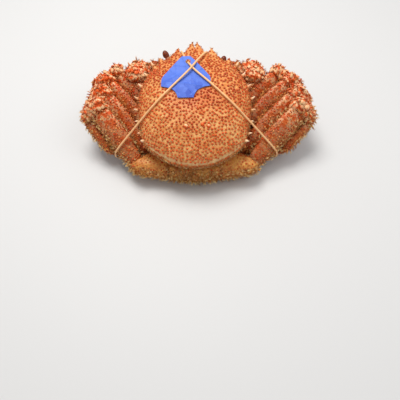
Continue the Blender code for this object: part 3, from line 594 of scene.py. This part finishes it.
def triangle_arrays(plate):
    """Corner places, corner places on the unwrap, corner normals and areas of a plate's triangles."""
    plate.data.calc_loop_triangles()
    corners = corner_points(plate)
    places = points_of(plate)[corners]
    unwraps = unwrap_of(plate)[read_array(plate.data.loop_triangles, "loops", 3, np.int32)]
    areas = np.linalg.norm(np.cross(places[:, 1] - places[:, 0], places[:, 2] - places[:, 0]), axis=1) / 2
    return places, unwraps, normals_of(plate)[corners], areas


def map_of_points(plate):
    """The place on the unwrap of each point of a plate."""
    unwrap = np.zeros((len(plate.data.vertices), 2))
    unwrap[read_array(plate.data.loops, "vertex_index", 1, np.int32)[:, 0]] = unwrap_of(plate)
    return unwrap


def kept_apart(places, spacing):
    """Indices of the places that keep their distance from all kept before them."""
    cells = {}
    kept = []
    keys = np.floor(places / spacing).astype(int)
    reach = (-1, 0, 1)
    near = [(i, j, k) for i in reach for j in reach for k in reach]
    for index, (place, key) in enumerate(zip(places.tolist(), keys.tolist())):
        crowded = any(math.dist(place, other) < spacing
                      for i, j, k in near
                      for other in cells.get((key[0] + i, key[1] + j, key[2] + k), ()))
        if not crowded:
            cells.setdefault(tuple(key), []).append(place)
            kept.append(index)
    return np.array(kept, dtype=int)


def unit(vectors):
    return vectors / np.maximum(np.linalg.norm(vectors, axis=-1, keepdims=True), 1e-12)


def bulge_of(plate):
    """How sharply a plate bulges at each point, from the pull of its neighbours, as a share of its points."""
    ends = read_array(plate.data.edges, "vertices", 2, np.int32)
    places = points_of(plate)
    step = places[ends[:, 1]] - places[ends[:, 0]]
    pull = np.zeros_like(places)
    reach = np.zeros(len(places))
    for column, sign in ((0, 1), (1, -1)):
        np.add.at(pull, ends[:, column], sign * step)
        np.add.at(reach, ends[:, column], (step ** 2).sum(axis=1))
    bulge = -(pull * normals_of(plate)).sum(axis=1) / np.maximum(reach, 1e-12)
    return bulge.argsort().argsort() / len(bulge)


def spots(plate, spacing, rng, wanted=None, ridge=0.0):
    """Evenly spread spots on a plate: places, normals and places on its unwrap, only on ridges if asked."""
    places, unwraps, bends, areas = triangle_arrays(plate)
    if ridge:
        sharp = bulge_of(plate)[corner_points(plate)].mean(axis=1) > ridge
        places, unwraps, bends, areas = places[sharp], unwraps[sharp], bends[sharp], areas[sharp]
    tries = int(areas.sum() / spacing ** 2 * DARTS)
    picked = rng.choice(len(areas), tries, p=areas / areas.sum())
    share = rng.random((tries, 2))
    over = share.sum(axis=1) > 1
    share[over] = 1 - share[over]
    weights = np.column_stack([1 - share.sum(axis=1), share])[:, :, None]
    place = (places[picked] * weights).sum(axis=1)
    normal = unit((bends[picked] * weights).sum(axis=1))
    flat = (unwraps[picked] * weights).sum(axis=1)
    if wanted is not None:
        chosen = wanted(place, normal)
        place, normal, flat = place[chosen], normal[chosen], flat[chosen]
    kept = kept_apart(place, spacing)
    return place[kept], normal[kept], flat[kept]


print("spots ready, darts per spot:", DARTS)

# %% [markdown]
# ## Small forms to plant
# Six small forms are modelled once: a round grain, a blunt lump, a spine with a swollen foot, and three bent
# bristles as an open tuft, a close clump and low stubble. Each has few faces, because thousands of copies are
# joined into one mesh.

# %% Small forms


def select_points(piece, test):
    """Selects the points of the edited mesh that pass a test, and nothing else."""
    mesh = bmesh.from_edit_mesh(piece.data)
    for point in mesh.verts:
        point.select = test(point.co)
    mesh.select_flush(True)
    bmesh.update_edit_mesh(piece.data)


def take_form(piece):
    """Turns the modelled form into arrays and removes it. Its map goes round it and upwards along it."""
    open_all(piece)
    bpy.ops.mesh.quads_convert_to_tris()
    bpy.ops.mesh.normals_make_consistent(inside=False)
    bpy.ops.object.mode_set(mode="OBJECT")
    places = points_of(piece)
    corners = read_array(piece.data.loops, "vertex_index", 1, np.int32)[:, 0]
    height = places[:, 2] / places[:, 2].max()
    around = 0.5 + np.arctan2(places[:, 1], places[:, 0]) / math.tau
    uvs = np.column_stack([around, height])[corners]
    bpy.data.objects.remove(piece)
    return {"places": places, "corners": corners, "uvs": uvs, "rise": np.clip(height, 0, 1)}


def model_dome(sides, squash):
    """A dome one unit in radius, flattened, with its foot sunk and closed."""
    bpy.ops.object.select_all(action="DESELECT")
    bpy.ops.mesh.primitive_uv_sphere_add(segments=sides, ring_count=4, radius=1)
    dome = bpy.context.active_object
    open_all(dome)
    bpy.ops.mesh.bisect(plane_co=(0, 0, -0.2), plane_no=(0, 0, 1), clear_inner=True, use_fill=True)
    bpy.ops.mesh.select_all(action="SELECT")
    bpy.ops.transform.resize(value=(1, 1, squash))
    bpy.ops.object.mode_set(mode="OBJECT")
    return take_form(dome)


def model_spine(sides=5):
    """A spine one unit long that stands on a swollen foot and hooks over a little."""
    bpy.ops.object.select_all(action="DESELECT")
    bpy.ops.mesh.primitive_cone_add(vertices=sides, radius1=0.34, radius2=0, depth=1.1, location=(0, 0, 0.45))
    spine = bpy.context.active_object
    bpy.ops.object.transform_apply(location=True)
    bpy.ops.object.mode_set(mode="EDIT")
    for level in (0.18, 0.6):
        bpy.ops.mesh.select_all(action="SELECT")
        bpy.ops.mesh.bisect(plane_co=(0, 0, level), plane_no=(0, 0, 1))
    select_points(spine, lambda place: 0.1 < place.z < 0.3)
    bpy.ops.transform.resize(value=(0.72, 0.72, 1))
    select_points(spine, lambda place: place.z > 0.9)
    bpy.ops.transform.translate(value=(0.12, 0, 0))
    bpy.ops.object.mode_set(mode="OBJECT")
    return take_form(spine)


def model_tuft(bristles, spread, lean, thick):
    """Bristles one unit long from nearly one root, each bent over, joined in one form."""
    strands = []
    for number in range(bristles):
        bpy.ops.object.select_all(action="DESELECT")
        bpy.ops.mesh.primitive_cone_add(vertices=3, radius1=thick, radius2=0, depth=1.06,
                                        location=(0, 0, 0.47))
        strand = bpy.context.active_object
        bpy.ops.object.transform_apply(location=True)
        open_all(strand)
        bpy.ops.mesh.bisect(plane_co=(0, 0, 0.65), plane_no=(0, 0, 1))
        select_points(strand, lambda place: 0.5 < place.z < 0.9)
        bpy.ops.transform.resize(value=(2.5, 2.5, 1), center_override=(0, 0, 0.65))
        bpy.ops.transform.translate(value=(0.07, 0, 0))
        select_points(strand, lambda place: place.z > 0.9)
        bpy.ops.transform.translate(value=(0.2, 0, -0.03))
        bpy.ops.object.mode_set(mode="OBJECT")
        turn = math.tau * number / bristles
        tilt = Matrix.Rotation(lean, 4, (-math.sin(turn), math.cos(turn), 0))
        shift = Matrix.Translation((spread * math.cos(turn), spread * math.sin(turn), 0))
        size = Matrix.Scale(1 - 0.15 * number / bristles, 4)
        strand.data.transform(shift @ tilt @ size)
        strands.append(strand)
    pick_only(strands[0])
    for strand in strands:
        strand.select_set(True)
    bpy.ops.object.join()
    return take_form(strands[0])


GRAIN = model_dome(7, 0.75)
LUMP = model_dome(8, 0.48)
SPINE = model_spine()
TUFT = model_tuft(3, 0.13, 0.36, 0.085)
CLUMP = model_tuft(3, 0.05, 0.1, 0.06)
STUBBLE = model_tuft(3, 0.22, 0.5, 0.14)
for form in (GRAIN, LUMP, SPINE, TUFT, CLUMP, STUBBLE):
    print("triangles of a small form:", len(form["corners"]) // 3)

# %% [markdown]
# ## Planting
# Every copy is placed by arrays: a size, three axes and a root for each, all multiplied at once, which makes
# one joined mesh in a fraction of a second. Copies that would stab the band, the tag or a neighbour, or go
# through the floor, are left out first.

# %% Helper: plant copies
PATCH = 0.003
CLEAR_OF_FLOOR = 0.3 * MM
FLOOR_SPREAD = 0.4
WORN_ROOM = 0.35 * MM
START_ABOVE = 0.25 * MM
REACH_SHARE = 0.55


def tree_of(pieces):
    """One search tree over the faces of several pieces."""
    places = []
    faces = []
    for piece in pieces:
        mesh = piece.data
        first = len(places)
        places += [tuple(point.co) for point in mesh.vertices]
        faces += [tuple(first + index for index in face.vertices) for face in mesh.polygons]
    return BVHTree.FromPolygons(places, faces)


WORN = tree_of([band, tag])
BODY = tree_of(PLATES.values())


def free_spots(place, normal, heading, length, worn_room=WORN_ROOM):
    """Marks the spots whose copy has room: clear of band and tag, of the floor and of its neighbours."""
    free = np.ones(len(place), dtype=bool)
    tips = place + heading * length[:, None]
    for index in range(len(place)):
        root = Vector(place[index])
        tip = Vector(tips[index])
        low = tip.z < CLEAR_OF_FLOOR + FLOOR_SPREAD * length[index]
        if low or any(WORN.find_nearest(point, worn_room)[0] is not None for point in (root, tip)):
            free[index] = False
            continue
        start = root + Vector(normal[index]) * START_ABOVE
        hit = BODY.ray_cast(start, Vector(heading[index]), length[index] * REACH_SHARE)
        free[index] = hit[0] is None
    return free


def plant(form, place, heading, lean_to, size, unwrap, rng):
    """Places, corners, map and values of all copies of a form on their roots."""
    count = len(place)
    upward = unit(heading)
    side = np.cross(lean_to, upward)
    weak = np.linalg.norm(side, axis=1) < 1e-6
    side[weak] = np.cross(rng.normal(size=(int(weak.sum()), 3)), upward[weak])
    side = unit(side)
    forward = np.cross(upward, side)
    axes = np.stack([forward, -side, upward], axis=1)
    shaped = form["places"][None] * size[:, None, :]
    places = np.einsum("nvi,nij->nvj", shaped, axes) + place[:, None]
    total = len(form["places"])
    corners = form["corners"][None] + np.arange(count)[:, None] * total
    uvs = unwrap[:, None] + (form["uvs"][None] - 0.5) * PATCH
    tint = np.repeat(rng.random(count), total)
    rise = np.tile(form["rise"], count)
    return places.reshape(-1, 3), corners.ravel(), uvs.reshape(-1, 2), rise, tint


def joined(name, batches, finish):
    """One mesh from several batches of planted copies."""
    places, corners, uvs, rise, tint = zip(*batches)
    firsts = np.cumsum([0] + [len(part) for part in places[:-1]])
    corners = np.concatenate([part + first for part, first in zip(corners, firsts)])
    places = np.concatenate(places)
    mesh = bpy.data.meshes.new(name)
    mesh.vertices.add(len(places))
    mesh.vertices.foreach_set("co", places.ravel())
    mesh.loops.add(len(corners))
    mesh.loops.foreach_set("vertex_index", corners.astype(np.int32))
    mesh.polygons.add(len(corners) // 3)
    mesh.polygons.foreach_set("loop_start", np.arange(0, len(corners), 3, dtype=np.int32))
    mesh.update(calc_edges=True)
    layer = mesh.uv_layers.new(name="OFBake")
    layer.data.foreach_set("uv", np.concatenate(uvs).ravel())
    piece = bpy.data.objects.new(name, mesh)
    bpy.context.scene.collection.objects.link(piece)
    paint(piece, "rise", np.concatenate(rise))
    paint(piece, "tint", np.concatenate(tint))
    mesh.materials.append(finish)
    mesh.shade_smooth()
    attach(piece, "root")
    print(name, "triangles:", len(corners) // 3)


print("search trees over", len(PLATES), "plates and over band and tag")

# %% [markdown]
# ## The coat's finish
# Grains and bristles have the same blush as the shell they grow on at their foot, so no ring shows, and turn
# to their own colour towards the tip: horn brown, gold or red. A second value, drawn for each copy, keeps
# neighbours from looking alike.

# %% Coat finish
SHARED = (0.35, 0.85)
RED_SHARE = (1.5, 0.55)


def coat_finish(name, shell, ends, roughness=0.45, turn=(0.15, 0.8), by="tint"):
    """Shell colours at the foot; at the tip one of two end colours, by the copy's own tint or its place."""
    made, tree, shader = start_finish(name, shell[0], roughness)
    masks, foot = blushed(tree, shell)
    share = stretch(tree, read_value(tree, "tint"), *SHARED)
    if by == "blotch":
        share = masks["Blotch"]
    if by == "red":
        redder = math_node(tree, "MULTIPLY", masks["Red"], RED_SHARE[0])
        share = math_node(tree, "ADD", math_node(tree, "MULTIPLY", share, RED_SHARE[1]), redder, clamp=True)
    along = stretch(tree, read_value(tree, "rise"), *turn)
    tip = mix_colours(tree, share, *ends)
    tree.links.new(mix_colours(tree, along, foot, tip), shader.inputs["Base Color"])
    return made


GRAIN_FINISH = coat_finish("shell_grain", CARAPACE_TONES, ((0.76, 0.10, 0.014), (0.44, 0.045, 0.01)),
                           0.35, (0.0, 0.55), "red")
GRANULE_FINISH = coat_finish("shell_granule", CARAPACE_TONES, ((0.96, 0.62, 0.30), (0.70, 0.18, 0.04)),
                             0.35, (0.0, 0.5))
TOOTH_FINISH = coat_finish("shell_tooth", CARAPACE_TONES, ((0.96, 0.68, 0.42), (0.90, 0.50, 0.28)),
                           0.3, (0.0, 0.6))
SHELL_BRISTLE = coat_finish("shell_bristle", CARAPACE_TONES, ((0.50, 0.13, 0.04), (0.24, 0.045, 0.012)))
LEG_BRISTLE = coat_finish("leg_bristle", LEG_TONES, ((0.86, 0.40, 0.10), (0.26, 0.045, 0.010)),
                          0.4, (0.2, 0.8))
GOLD_BRISTLE = coat_finish("gold_bristle", REAR_TONES, ((1.0, 0.78, 0.36), (0.40, 0.13, 0.03)),
                           0.4, (0.2, 0.8))
SPOT_FINISH = coat_finish("leg_spot", LEG_TONES, ((0.62, 0.06, 0.008), (0.74, 0.30, 0.09)),
                          0.35, (0.0, 0.4))
SPINE_FINISH = coat_finish("leg_spine", LEG_TONES, ((0.88, 0.50, 0.24), (0.66, 0.12, 0.025)), 0.3)
LUMP_FINISH = coat_finish("knee_lump", LEG_TONES, KNOB_TONES, 0.25, (0.0, 0.4), "blotch")
print("coat finishes ready")

# %% [markdown]
# ## Grains of the back
# The back is sown with small red grains, largest in the middle and smaller at the front edge and the rear.
# Each has a red stain round its foot. Stain and pale rear rim are values painted on the shell's points, which
# its material reads, so they follow the grains and the shape whatever the pattern of the shell.

# %% Carapace grains
GRAIN_SPACING = 2.1 * MM
GRAIN_SIZE = 0.9 * MM
GRAIN_GROWTH = ((-0.05, 0.0, 0.02, 0.045), (0.92, 1.12, 1.12, 0.75))
GRAIN_VARIETY = (0.75, 1.2)
GRAIN_RISE = 0.9 * MM
GRAIN_ROOM = 0.55 * MM
STAIN_REACH = 0.84 * MM
RIM_FACE = 0.29
RIM_WIDTH = 0.15
RIM_START = -0.022
RIM_FADE = 0.012
RIM_PEAK = 1.6
RIM_LEAST = 0.45
RIM_WAVER = 0.4
RIM_WAVES = 190
RIM_BEAT = 2.3
RIM_BARE = 0.3
shell = PLATES["carapace"]


def rim_share(place, normal):
    """How much a spot belongs to the pale rear rim, which faces backwards and a little up."""
    across = place[:, 0] * RIM_WAVES
    waver = RIM_LEAST + RIM_WAVER * (0.5 + 0.5 * np.sin(across) * np.sin(across * RIM_BEAT + 1))
    strip = np.clip(RIM_PEAK * (1 - np.abs(normal[:, 2] - RIM_FACE) / RIM_WIDTH), 0, 1)
    return strip * waver * np.clip((RIM_START - place[:, 1]) / RIM_FADE, 0, 1)


def facing(low, high=2.0):
    """A test for spots where the plate faces up by more than low and less than high."""
    return lambda place, normal: (normal[:, 2] > low) & (normal[:, 2] < high)


def grain_ground(place, normal):
    return facing(-0.55)(place, normal) & (rim_share(place, normal) < RIM_BARE)


paint(shell, "rim", rim_share(points_of(shell), normals_of(shell)))
rng = np.random.default_rng(5)
place, normal, unwrap = spots(shell, GRAIN_SPACING, rng, grain_ground)
room = free_spots(place, normal, normal, np.full(len(place), GRAIN_RISE), GRAIN_ROOM)
place, normal, unwrap = place[room], normal[room], unwrap[room]
growth = np.interp(place[:, 1], *GRAIN_GROWTH)[:, None]
sizes = GRAIN_SIZE * growth * rng.uniform(*GRAIN_VARIETY, (len(place), 1)) * np.ones((1, 3))
grains = plant(GRAIN, place, normal, rng.normal(size=place.shape), sizes, unwrap, rng)
joined("carapace_grains", [grains], GRAIN_FINISH)

tree = kdtree.KDTree(len(place))
for index, root in enumerate(place):
    tree.insert(root, index)
tree.balance()
far = np.array([tree.find(point)[2] for point in points_of(shell)])
paint(shell, "stain", np.exp(-(far / STAIN_REACH) ** 2))

# %% [markdown]
# ## Granules between the grains
# Smaller pale granules fill the room between the red grains and give the back its fine roughness. They keep
# their distance from every grain, found through a search tree of the grains' roots.

# %% Pale granules
SMALL_SPACING = 1.5 * MM
SMALL_ROOM = 1.05 * MM
SMALL_SIZE = 0.34 * MM
SMALL_VARIETY = (0.6, 1.3)
SMALL_RISE = 0.5 * MM
SMALL_CLEAR = 0.4 * MM

small, facet, small_map = spots(shell, SMALL_SPACING, rng, facing(0.1))
clear = np.array([tree.find(point)[2] for point in small]) > SMALL_ROOM
small, facet, small_map = small[clear], facet[clear], small_map[clear]
room = free_spots(small, facet, facet, np.full(len(small), SMALL_RISE), SMALL_CLEAR)
small, facet, small_map = small[room], facet[room], small_map[room]
small_sizes = SMALL_SIZE * rng.uniform(*SMALL_VARIETY, (len(small), 1)) * np.ones((1, 3))
granules = plant(GRAIN, small, facet, rng.normal(size=small.shape), small_sizes, small_map, rng)
joined("carapace_granules", [granules], GRANULE_FINISH)

# %% [markdown]
# ## Bristles of the back
# A few short stiff bristles stand beside each grain and lean away from it. Where the back turns down at its
# edge they are longer, so that they show in outline.

# %% Bristles beside the grains
RING = 2
RING_FOOT = 0.8
RING_SPLAY = 0.55
RING_WILD = 0.25
RING_LENGTH = (0.7, 1.2)
RING_ROOM = 0.5 * MM
EDGE_FACE = 0.45
EDGE_LENGTH = (0.6, 1.5)
batches = []
for _ in range(RING):
    aside = unit(np.cross(normal, rng.normal(size=place.shape)))
    start = place + aside * sizes[:, :1] * RING_FOOT
    heading = unit(normal + RING_SPLAY * aside + RING_WILD * rng.normal(size=place.shape))
    edge = np.clip((EDGE_FACE - normal[:, 2]) / EDGE_FACE, 0, 1)
    length = (rng.uniform(*RING_LENGTH, len(place)) + edge * rng.uniform(*EDGE_LENGTH, len(place))) * MM
    room = free_spots(start, normal, heading, length, RING_ROOM)
    size = np.column_stack([length, length, length])[room]
    batches.append(plant(STUBBLE, start[room], heading[room], aside[room], size, unwrap[room], rng))
joined("carapace_bristles", batches, SHELL_BRISTLE)

# %% [markdown]
# ## Bumps and teeth of the back
# A few knobs stand in the middle of the back. Their places were read in the picture, so a ray goes from the
# camera through each one to the plate. Small pale teeth stand along the back's widest line, with the largest
# at the two rear corners.

# %% Bumps and teeth of the back
PICTURE = 400
SENSOR = 36.0
BUMPS = ((186.0, 126.0, 1.9), (202.5, 124.4, 1.6), (209.0, 126.0, 1.7), (172.5, 140.5, 1.3),
         (196.5, 107.0, 1.2))
EDGE_TEETH = ((25.9, 4.2), (17.2, 4.4), (7.7, 4.4), (-2.4, 4.2), (-11.8, 4.0), (-21.2, 4.0), (-30.7, 4.0),
              (-39.0, 5.0))
TOOTH_WIDTH = 1.5
TOOTH_RISE = 0.045
TOOTH_SINK = 0.3 * MM


def under_picture(tree, across, down):
    """Where the ray through a spot of the picture meets a search tree: place and normal."""
    half = SENSOR / (2 * CAMERA_LENS)
    aim = Vector(((across / PICTURE * 2 - 1) * half, (1 - down / PICTURE * 2) * half, -1.0))
    aim.rotate(Matrix.Rotation(CAMERA_TILT, 3, "X"))
    return tree.ray_cast(Vector(CAMERA_PLACE), aim)[:2]


def widest_points(places, level):
    """Indices of the outermost point on each side at one level from rear to front."""
    row = np.flatnonzero(np.abs(places[:, 1] - level) < MM)
    return [row[places[row, 0].argmin()], row[places[row, 0].argmax()]]


SHELL_TREE = tree_of([shell])
shell_points = points_of(shell)
shell_map = map_of_points(shell)
hits = [under_picture(SHELL_TREE, across, down) for across, down, _ in BUMPS]
place = np.array([tuple(hit[0]) for hit in hits])
normal = np.array([tuple(hit[1]) for hit in hits])
nearest = [np.linalg.norm(shell_points - root, axis=1).argmin() for root in place]
width = np.array([size for _, _, size in BUMPS]) * MM
bumps = plant(LUMP, place, normal, rng.normal(size=place.shape), np.column_stack([width] * 3),
              shell_map[nearest], rng)
joined("carapace_bumps", [bumps], LUMP_FINISH)

edge = [index for level, _ in EDGE_TEETH for index in widest_points(shell_points, level * MM)]
length = np.repeat([size * MM for _, size in EDGE_TEETH], 2)
outward = unit(shell_points[edge] * np.array([1, 1, 0]) + np.array([0, 0, TOOTH_RISE]))
width = length * TOOTH_WIDTH
teeth = plant(SPINE, shell_points[edge] - outward * TOOTH_SINK, outward, rng.normal(size=outward.shape),
              np.column_stack([width, width, length]), shell_map[edge], rng)
joined("carapace_teeth", [teeth], TOOTH_FINISH)

# %% [markdown]
# ## How bristles lie on legs and claws
# A leg's bristles lie towards its tip and stand away from its edges. Each leg joint has its own direction
# from the joint before it, so the lie follows the fold of the leg. The last legs and the tail have gold ones.

# %% Helper: limbs and their bristles
LIMBS = {}
for side in SIDES:
    LIMBS["claw_" + side] = ["claw_%s_%s" % (side, part) for part in ("merus", "carpus", "palm", "finger")]
    for number in LEG_NUMBERS:
        parts = ("base", "merus", "carpus", "propodus", "dactylus")
        LIMBS["leg%d_%s" % (number, side)] = ["leg%d_%s_%s" % (number, side, part) for part in parts]


def lie_of(plates, index):
    """Direction from the joint before a plate towards its far end."""
    here = points_of(plates[index]).mean(axis=0)
    before = points_of(plates[index - 1]).mean(axis=0) if index else np.array([0, here[1], here[2]])
    spread = points_of(plates[index]) - here
    axis = np.linalg.svd(spread, full_matrices=False)[2][0]
    return axis if axis @ (here - before) > 0 else -axis


CELL_MARGIN = 0.02


def cell_map(unwrap, index, total):
    """Moves a plate's own map into its cell of a square sheet that several plates share."""
    across = math.ceil(math.sqrt(total))
    corner = np.array([index % across, index // across])
    return (corner + CELL_MARGIN + (1 - 2 * CELL_MARGIN) * unwrap) / across


def plant_free(form, place, normal, heading, lean_to, size, unwrap, cell, rng):
    """Plants the copies that have room, with their map in the plate's cell of the sheet."""
    room = free_spots(place, normal, heading, size[:, 2])
    return plant(form, place[room], heading[room], lean_to[room], size[room],
                 cell_map(unwrap[room], *cell), rng)


TOP_FROM = 0.35
TOP_OVER = 0.4
TOP_TRIM = 0.55
WILD = 0.28


def grow_bristles(plate, lie, rng, cell, wanted, spacing, lengths, rise, form=TUFT):
    """Tufts over one plate that lie along it and stand away from it."""
    place, normal, unwrap = spots(plate, spacing, rng, wanted)
    along = lie[None] - normal * (normal @ lie)[:, None]
    heading = unit(rise * normal + (1 - rise) * unit(along) + WILD * rng.normal(size=place.shape))
    top = np.clip((normal[:, 2] - TOP_FROM) / TOP_OVER, 0, 1)
    length = rng.uniform(*lengths, len(place)) * (1 - TOP_TRIM * top) * MM
    size = np.column_stack([length, length, length])
    return plant_free(form, place, normal, heading, along, size, unwrap, cell, rng)


KNOB_REACH = {
    "merus": ((0.6, 0.9), (0.24, 0.74)),
    "carpus": ((0.0, 1.0), (1.0, 1.0)),
    "propodus": ((0.0, 0.4), (0.5, 0.0)),
}
NO_KNOB = ((0.0, 1.0), (0.0, 0.0))


def paint_knobs(plate, lie, part):
    """Marks how far the pale and red blotches of a knee reach: all of it, and into the joints beside it."""
    along = points_of(plate) @ lie
    share = (along - along.min()) / np.ptp(along)
    paint(plate, "knob", np.interp(share, *KNOB_REACH.get(part, NO_KNOB)))


print("limbs:", len(LIMBS), "joints:", sum(len(nodes) for nodes in LIMBS.values()))


# %% [markdown]
# ## The coat of each limb
# Short tufts cover every joint closely, and longer clumps stand between them where the joint faces sideways,
# so that the fringe shows in outline and the top stays short. Knees keep their upper side free for lumps.

# %% Limb coats
FUR = {"spacing": 1.3 * MM, "lengths": (1.2, 2.0), "rise": 0.6}
SLIM_FUR = {"spacing": 1.5 * MM, "lengths": (1.2, 2.0), "rise": 0.6}
LONG = {"spacing": 2.3 * MM, "lengths": (3.4, 5.0), "rise": 0.66, "form": CLUMP}
SLIM_LONG = {"spacing": 2.2 * MM, "lengths": (2.2, 3.0), "rise": 0.66, "form": CLUMP}
SIDEWAYS = facing(-2.0, 0.45)

for limb, nodes in LIMBS.items():
    rng = np.random.default_rng(sum(ord(letter) for letter in limb))
    plates = [PLATES[node] for node in nodes]
    batches = []
    for index, (node, plate) in enumerate(zip(nodes, plates)):
        lie = lie_of(plates, index)
        paint_knobs(plate, lie, node.split("_")[-1])
        slim = node.endswith(("dactylus", "finger"))
        cell = (index, len(plates))
        where = SIDEWAYS if node.endswith("carpus") else None
        batches.append(grow_bristles(plate, lie, rng, cell, where, **(SLIM_FUR if slim else FUR)))
        batches.append(grow_bristles(plate, lie, rng, cell, SIDEWAYS, **(SLIM_LONG if slim else LONG)))
    finish = GOLD_BRISTLE if limb.startswith("leg4") else LEG_BRISTLE
    joined(limb + "_bristles", batches, finish)

# %% [markdown]
# ## Spines and lumps of the legs
# Two rows of small pale spines with red feet run along the upper shoulders of each long joint, and more stand
# where its plate bulges most sharply. The knees are heaped with blunt lumps, some red and some nearly white.

# %% Helper: spines and lumps
FORM_WILD = 0.2
ROW_WILD = 0.08
UNEVEN = (0.7, 1.4)
SHOULDER = 1.6


def grow_forms(form, plate, rng, cell, wanted, spacing, lengths, width, ridge=0.0):
    """Grains, spines or lumps on one plate, straight out of it."""
    place, normal, unwrap = spots(plate, spacing, rng, wanted, ridge)
    heading = unit(normal + FORM_WILD * rng.normal(size=place.shape))
    length = rng.uniform(*lengths, len(place)) * MM
    uneven = rng.uniform(*UNEVEN, (2, len(place)))
    size = np.column_stack([length * width * uneven[0], length * width * uneven[1], length])
    return plant_free(form, place, normal, heading, rng.normal(size=place.shape), size, unwrap, cell, rng)


def ridge_rows(plate, lie, rng, cell, step, lengths, width):
    """Spines in two rows, along the two upper shoulders of a joint."""
    places = points_of(plate)
    _, across, face = np.linalg.svd(places - places.mean(axis=0), full_matrices=False)[2]
    upward = SHOULDER * face * (1 if face[2] > 0 else -1)
    along = places @ lie
    edge = []
    for level in np.arange(along.min() + step, along.max() - step, step):
        row = np.flatnonzero(np.abs(along - level) < step / 2)
        if len(row):
            edge += [row[(places[row] @ (upward + turn)).argmax()] for turn in (across, -across)]
    place = places[edge]
    normal = normals_of(plate)[edge]
    heading = unit(normal + ROW_WILD * rng.normal(size=place.shape))
    length = rng.uniform(*lengths, len(place)) * MM
    size = np.column_stack([length * width, length * width, length])
    return plant_free(SPINE, place, normal, heading, rng.normal(size=place.shape), size,
                      map_of_points(plate)[edge], cell, rng)


print("spines stand in two rows on shoulders that rise by", SHOULDER)

# %% Leg spines, lumps and grains
DOTS = {"spacing": 2.1 * MM, "lengths": (0.55, 0.95), "width": 0.9}
EDGE_SPINES = {"spacing": 1.6 * MM, "lengths": (1.3, 2.3), "width": 1.2, "ridge": 0.87}
ROW_SPINES = {"step": 1.35 * MM, "lengths": (0.9, 1.5), "width": 1.5}
KNEE_LUMPS = {"spacing": 3.3 * MM, "lengths": (1.3, 2.3), "width": 1.0}
KNEE_SPINES = {"spacing": 3.6 * MM, "lengths": (2.2, 3.4), "width": 0.8}
SEEN = facing(-0.35)
ON_TOP = facing(0.25)

for limb, nodes in LIMBS.items():
    rng = np.random.default_rng(1000 + sum(ord(letter) for letter in limb))
    plates = [PLATES[node] for node in nodes]
    spines = []
    lumps = []
    dots = []
    for index, (node, plate) in enumerate(zip(nodes, plates)):
        cell = (index, len(nodes))
        dots.append(grow_forms(GRAIN, plate, rng, cell, SEEN, **DOTS))
        if node.endswith(("merus", "propodus", "palm")):
            spines.append(grow_forms(SPINE, plate, rng, cell, SEEN, **EDGE_SPINES))
            spines.append(ridge_rows(plate, lie_of(plates, index), rng, cell, **ROW_SPINES))
        if node.endswith("carpus"):
            lumps.append(grow_forms(LUMP, plate, rng, cell, ON_TOP, **KNEE_LUMPS))
            spines.append(grow_forms(SPINE, plate, rng, cell, SEEN, **KNEE_SPINES))
    joined(limb + "_spines", spines, SPINE_FINISH)
    joined(limb + "_lumps", lumps, LUMP_FINISH)
    joined(limb + "_grains", dots, SPOT_FINISH)

# %% [markdown]
# ## The rear and the underside
# The folded tail has the same gold tufts as the last legs, with a few grains between. A skirt of bristles
# hangs from the turned-under edge of the back, and sparse ones cover the body below, which is seldom seen.

# %% Rear and underside
REAR_FUR = {"spacing": 1.2 * MM, "lengths": (1.6, 2.4), "rise": 0.75}
REAR_LONG = {"spacing": 1.9 * MM, "lengths": (3.6, 5.2), "rise": 0.75, "form": CLUMP}
REAR_DOTS = {"spacing": 2.2 * MM, "lengths": (0.5, 0.8), "width": 1.0}
SKIRT = {"spacing": 1.5 * MM, "lengths": (1.6, 2.6), "rise": 0.8}
UNDER_FUR = {"spacing": 2.0 * MM, "lengths": (1.2, 2.2), "rise": 0.5}
REAR_LIE = np.array([0, -0.6, 0.5])
DOWNWARD = np.array([0.0, 0.0, -1.0])
UNDERSIDE = ("thorax", "maxilliped_left", "maxilliped_right")
WHOLE = (0, 1)
FLOOR_STRIP = 1.5 * MM


def above_floor(place, normal):
    return place[:, 2] > FLOOR_STRIP


rng = np.random.default_rng(21)
tail = PLATES["abdomen"]
batches = [grow_bristles(tail, REAR_LIE, rng, WHOLE, above_floor, **kind) for kind in (REAR_FUR, REAR_LONG)]
joined("rear_bristles", batches, GOLD_BRISTLE)
batch = grow_forms(GRAIN, tail, rng, WHOLE, SEEN, **REAR_DOTS)
joined("rear_grains", [batch], SPOT_FINISH)
batch = grow_bristles(shell, DOWNWARD, rng, WHOLE, facing(-2.0, 0.12), **SKIRT)
joined("carapace_skirt", [batch], GOLD_BRISTLE)
batches = []
for index, node in enumerate(UNDERSIDE):
    cell = (index, len(UNDERSIDE))
    batches.append(grow_bristles(PLATES[node], DOWNWARD, rng, cell, None, **UNDER_FUR))
joined("underside_bristles", batches, GOLD_BRISTLE)
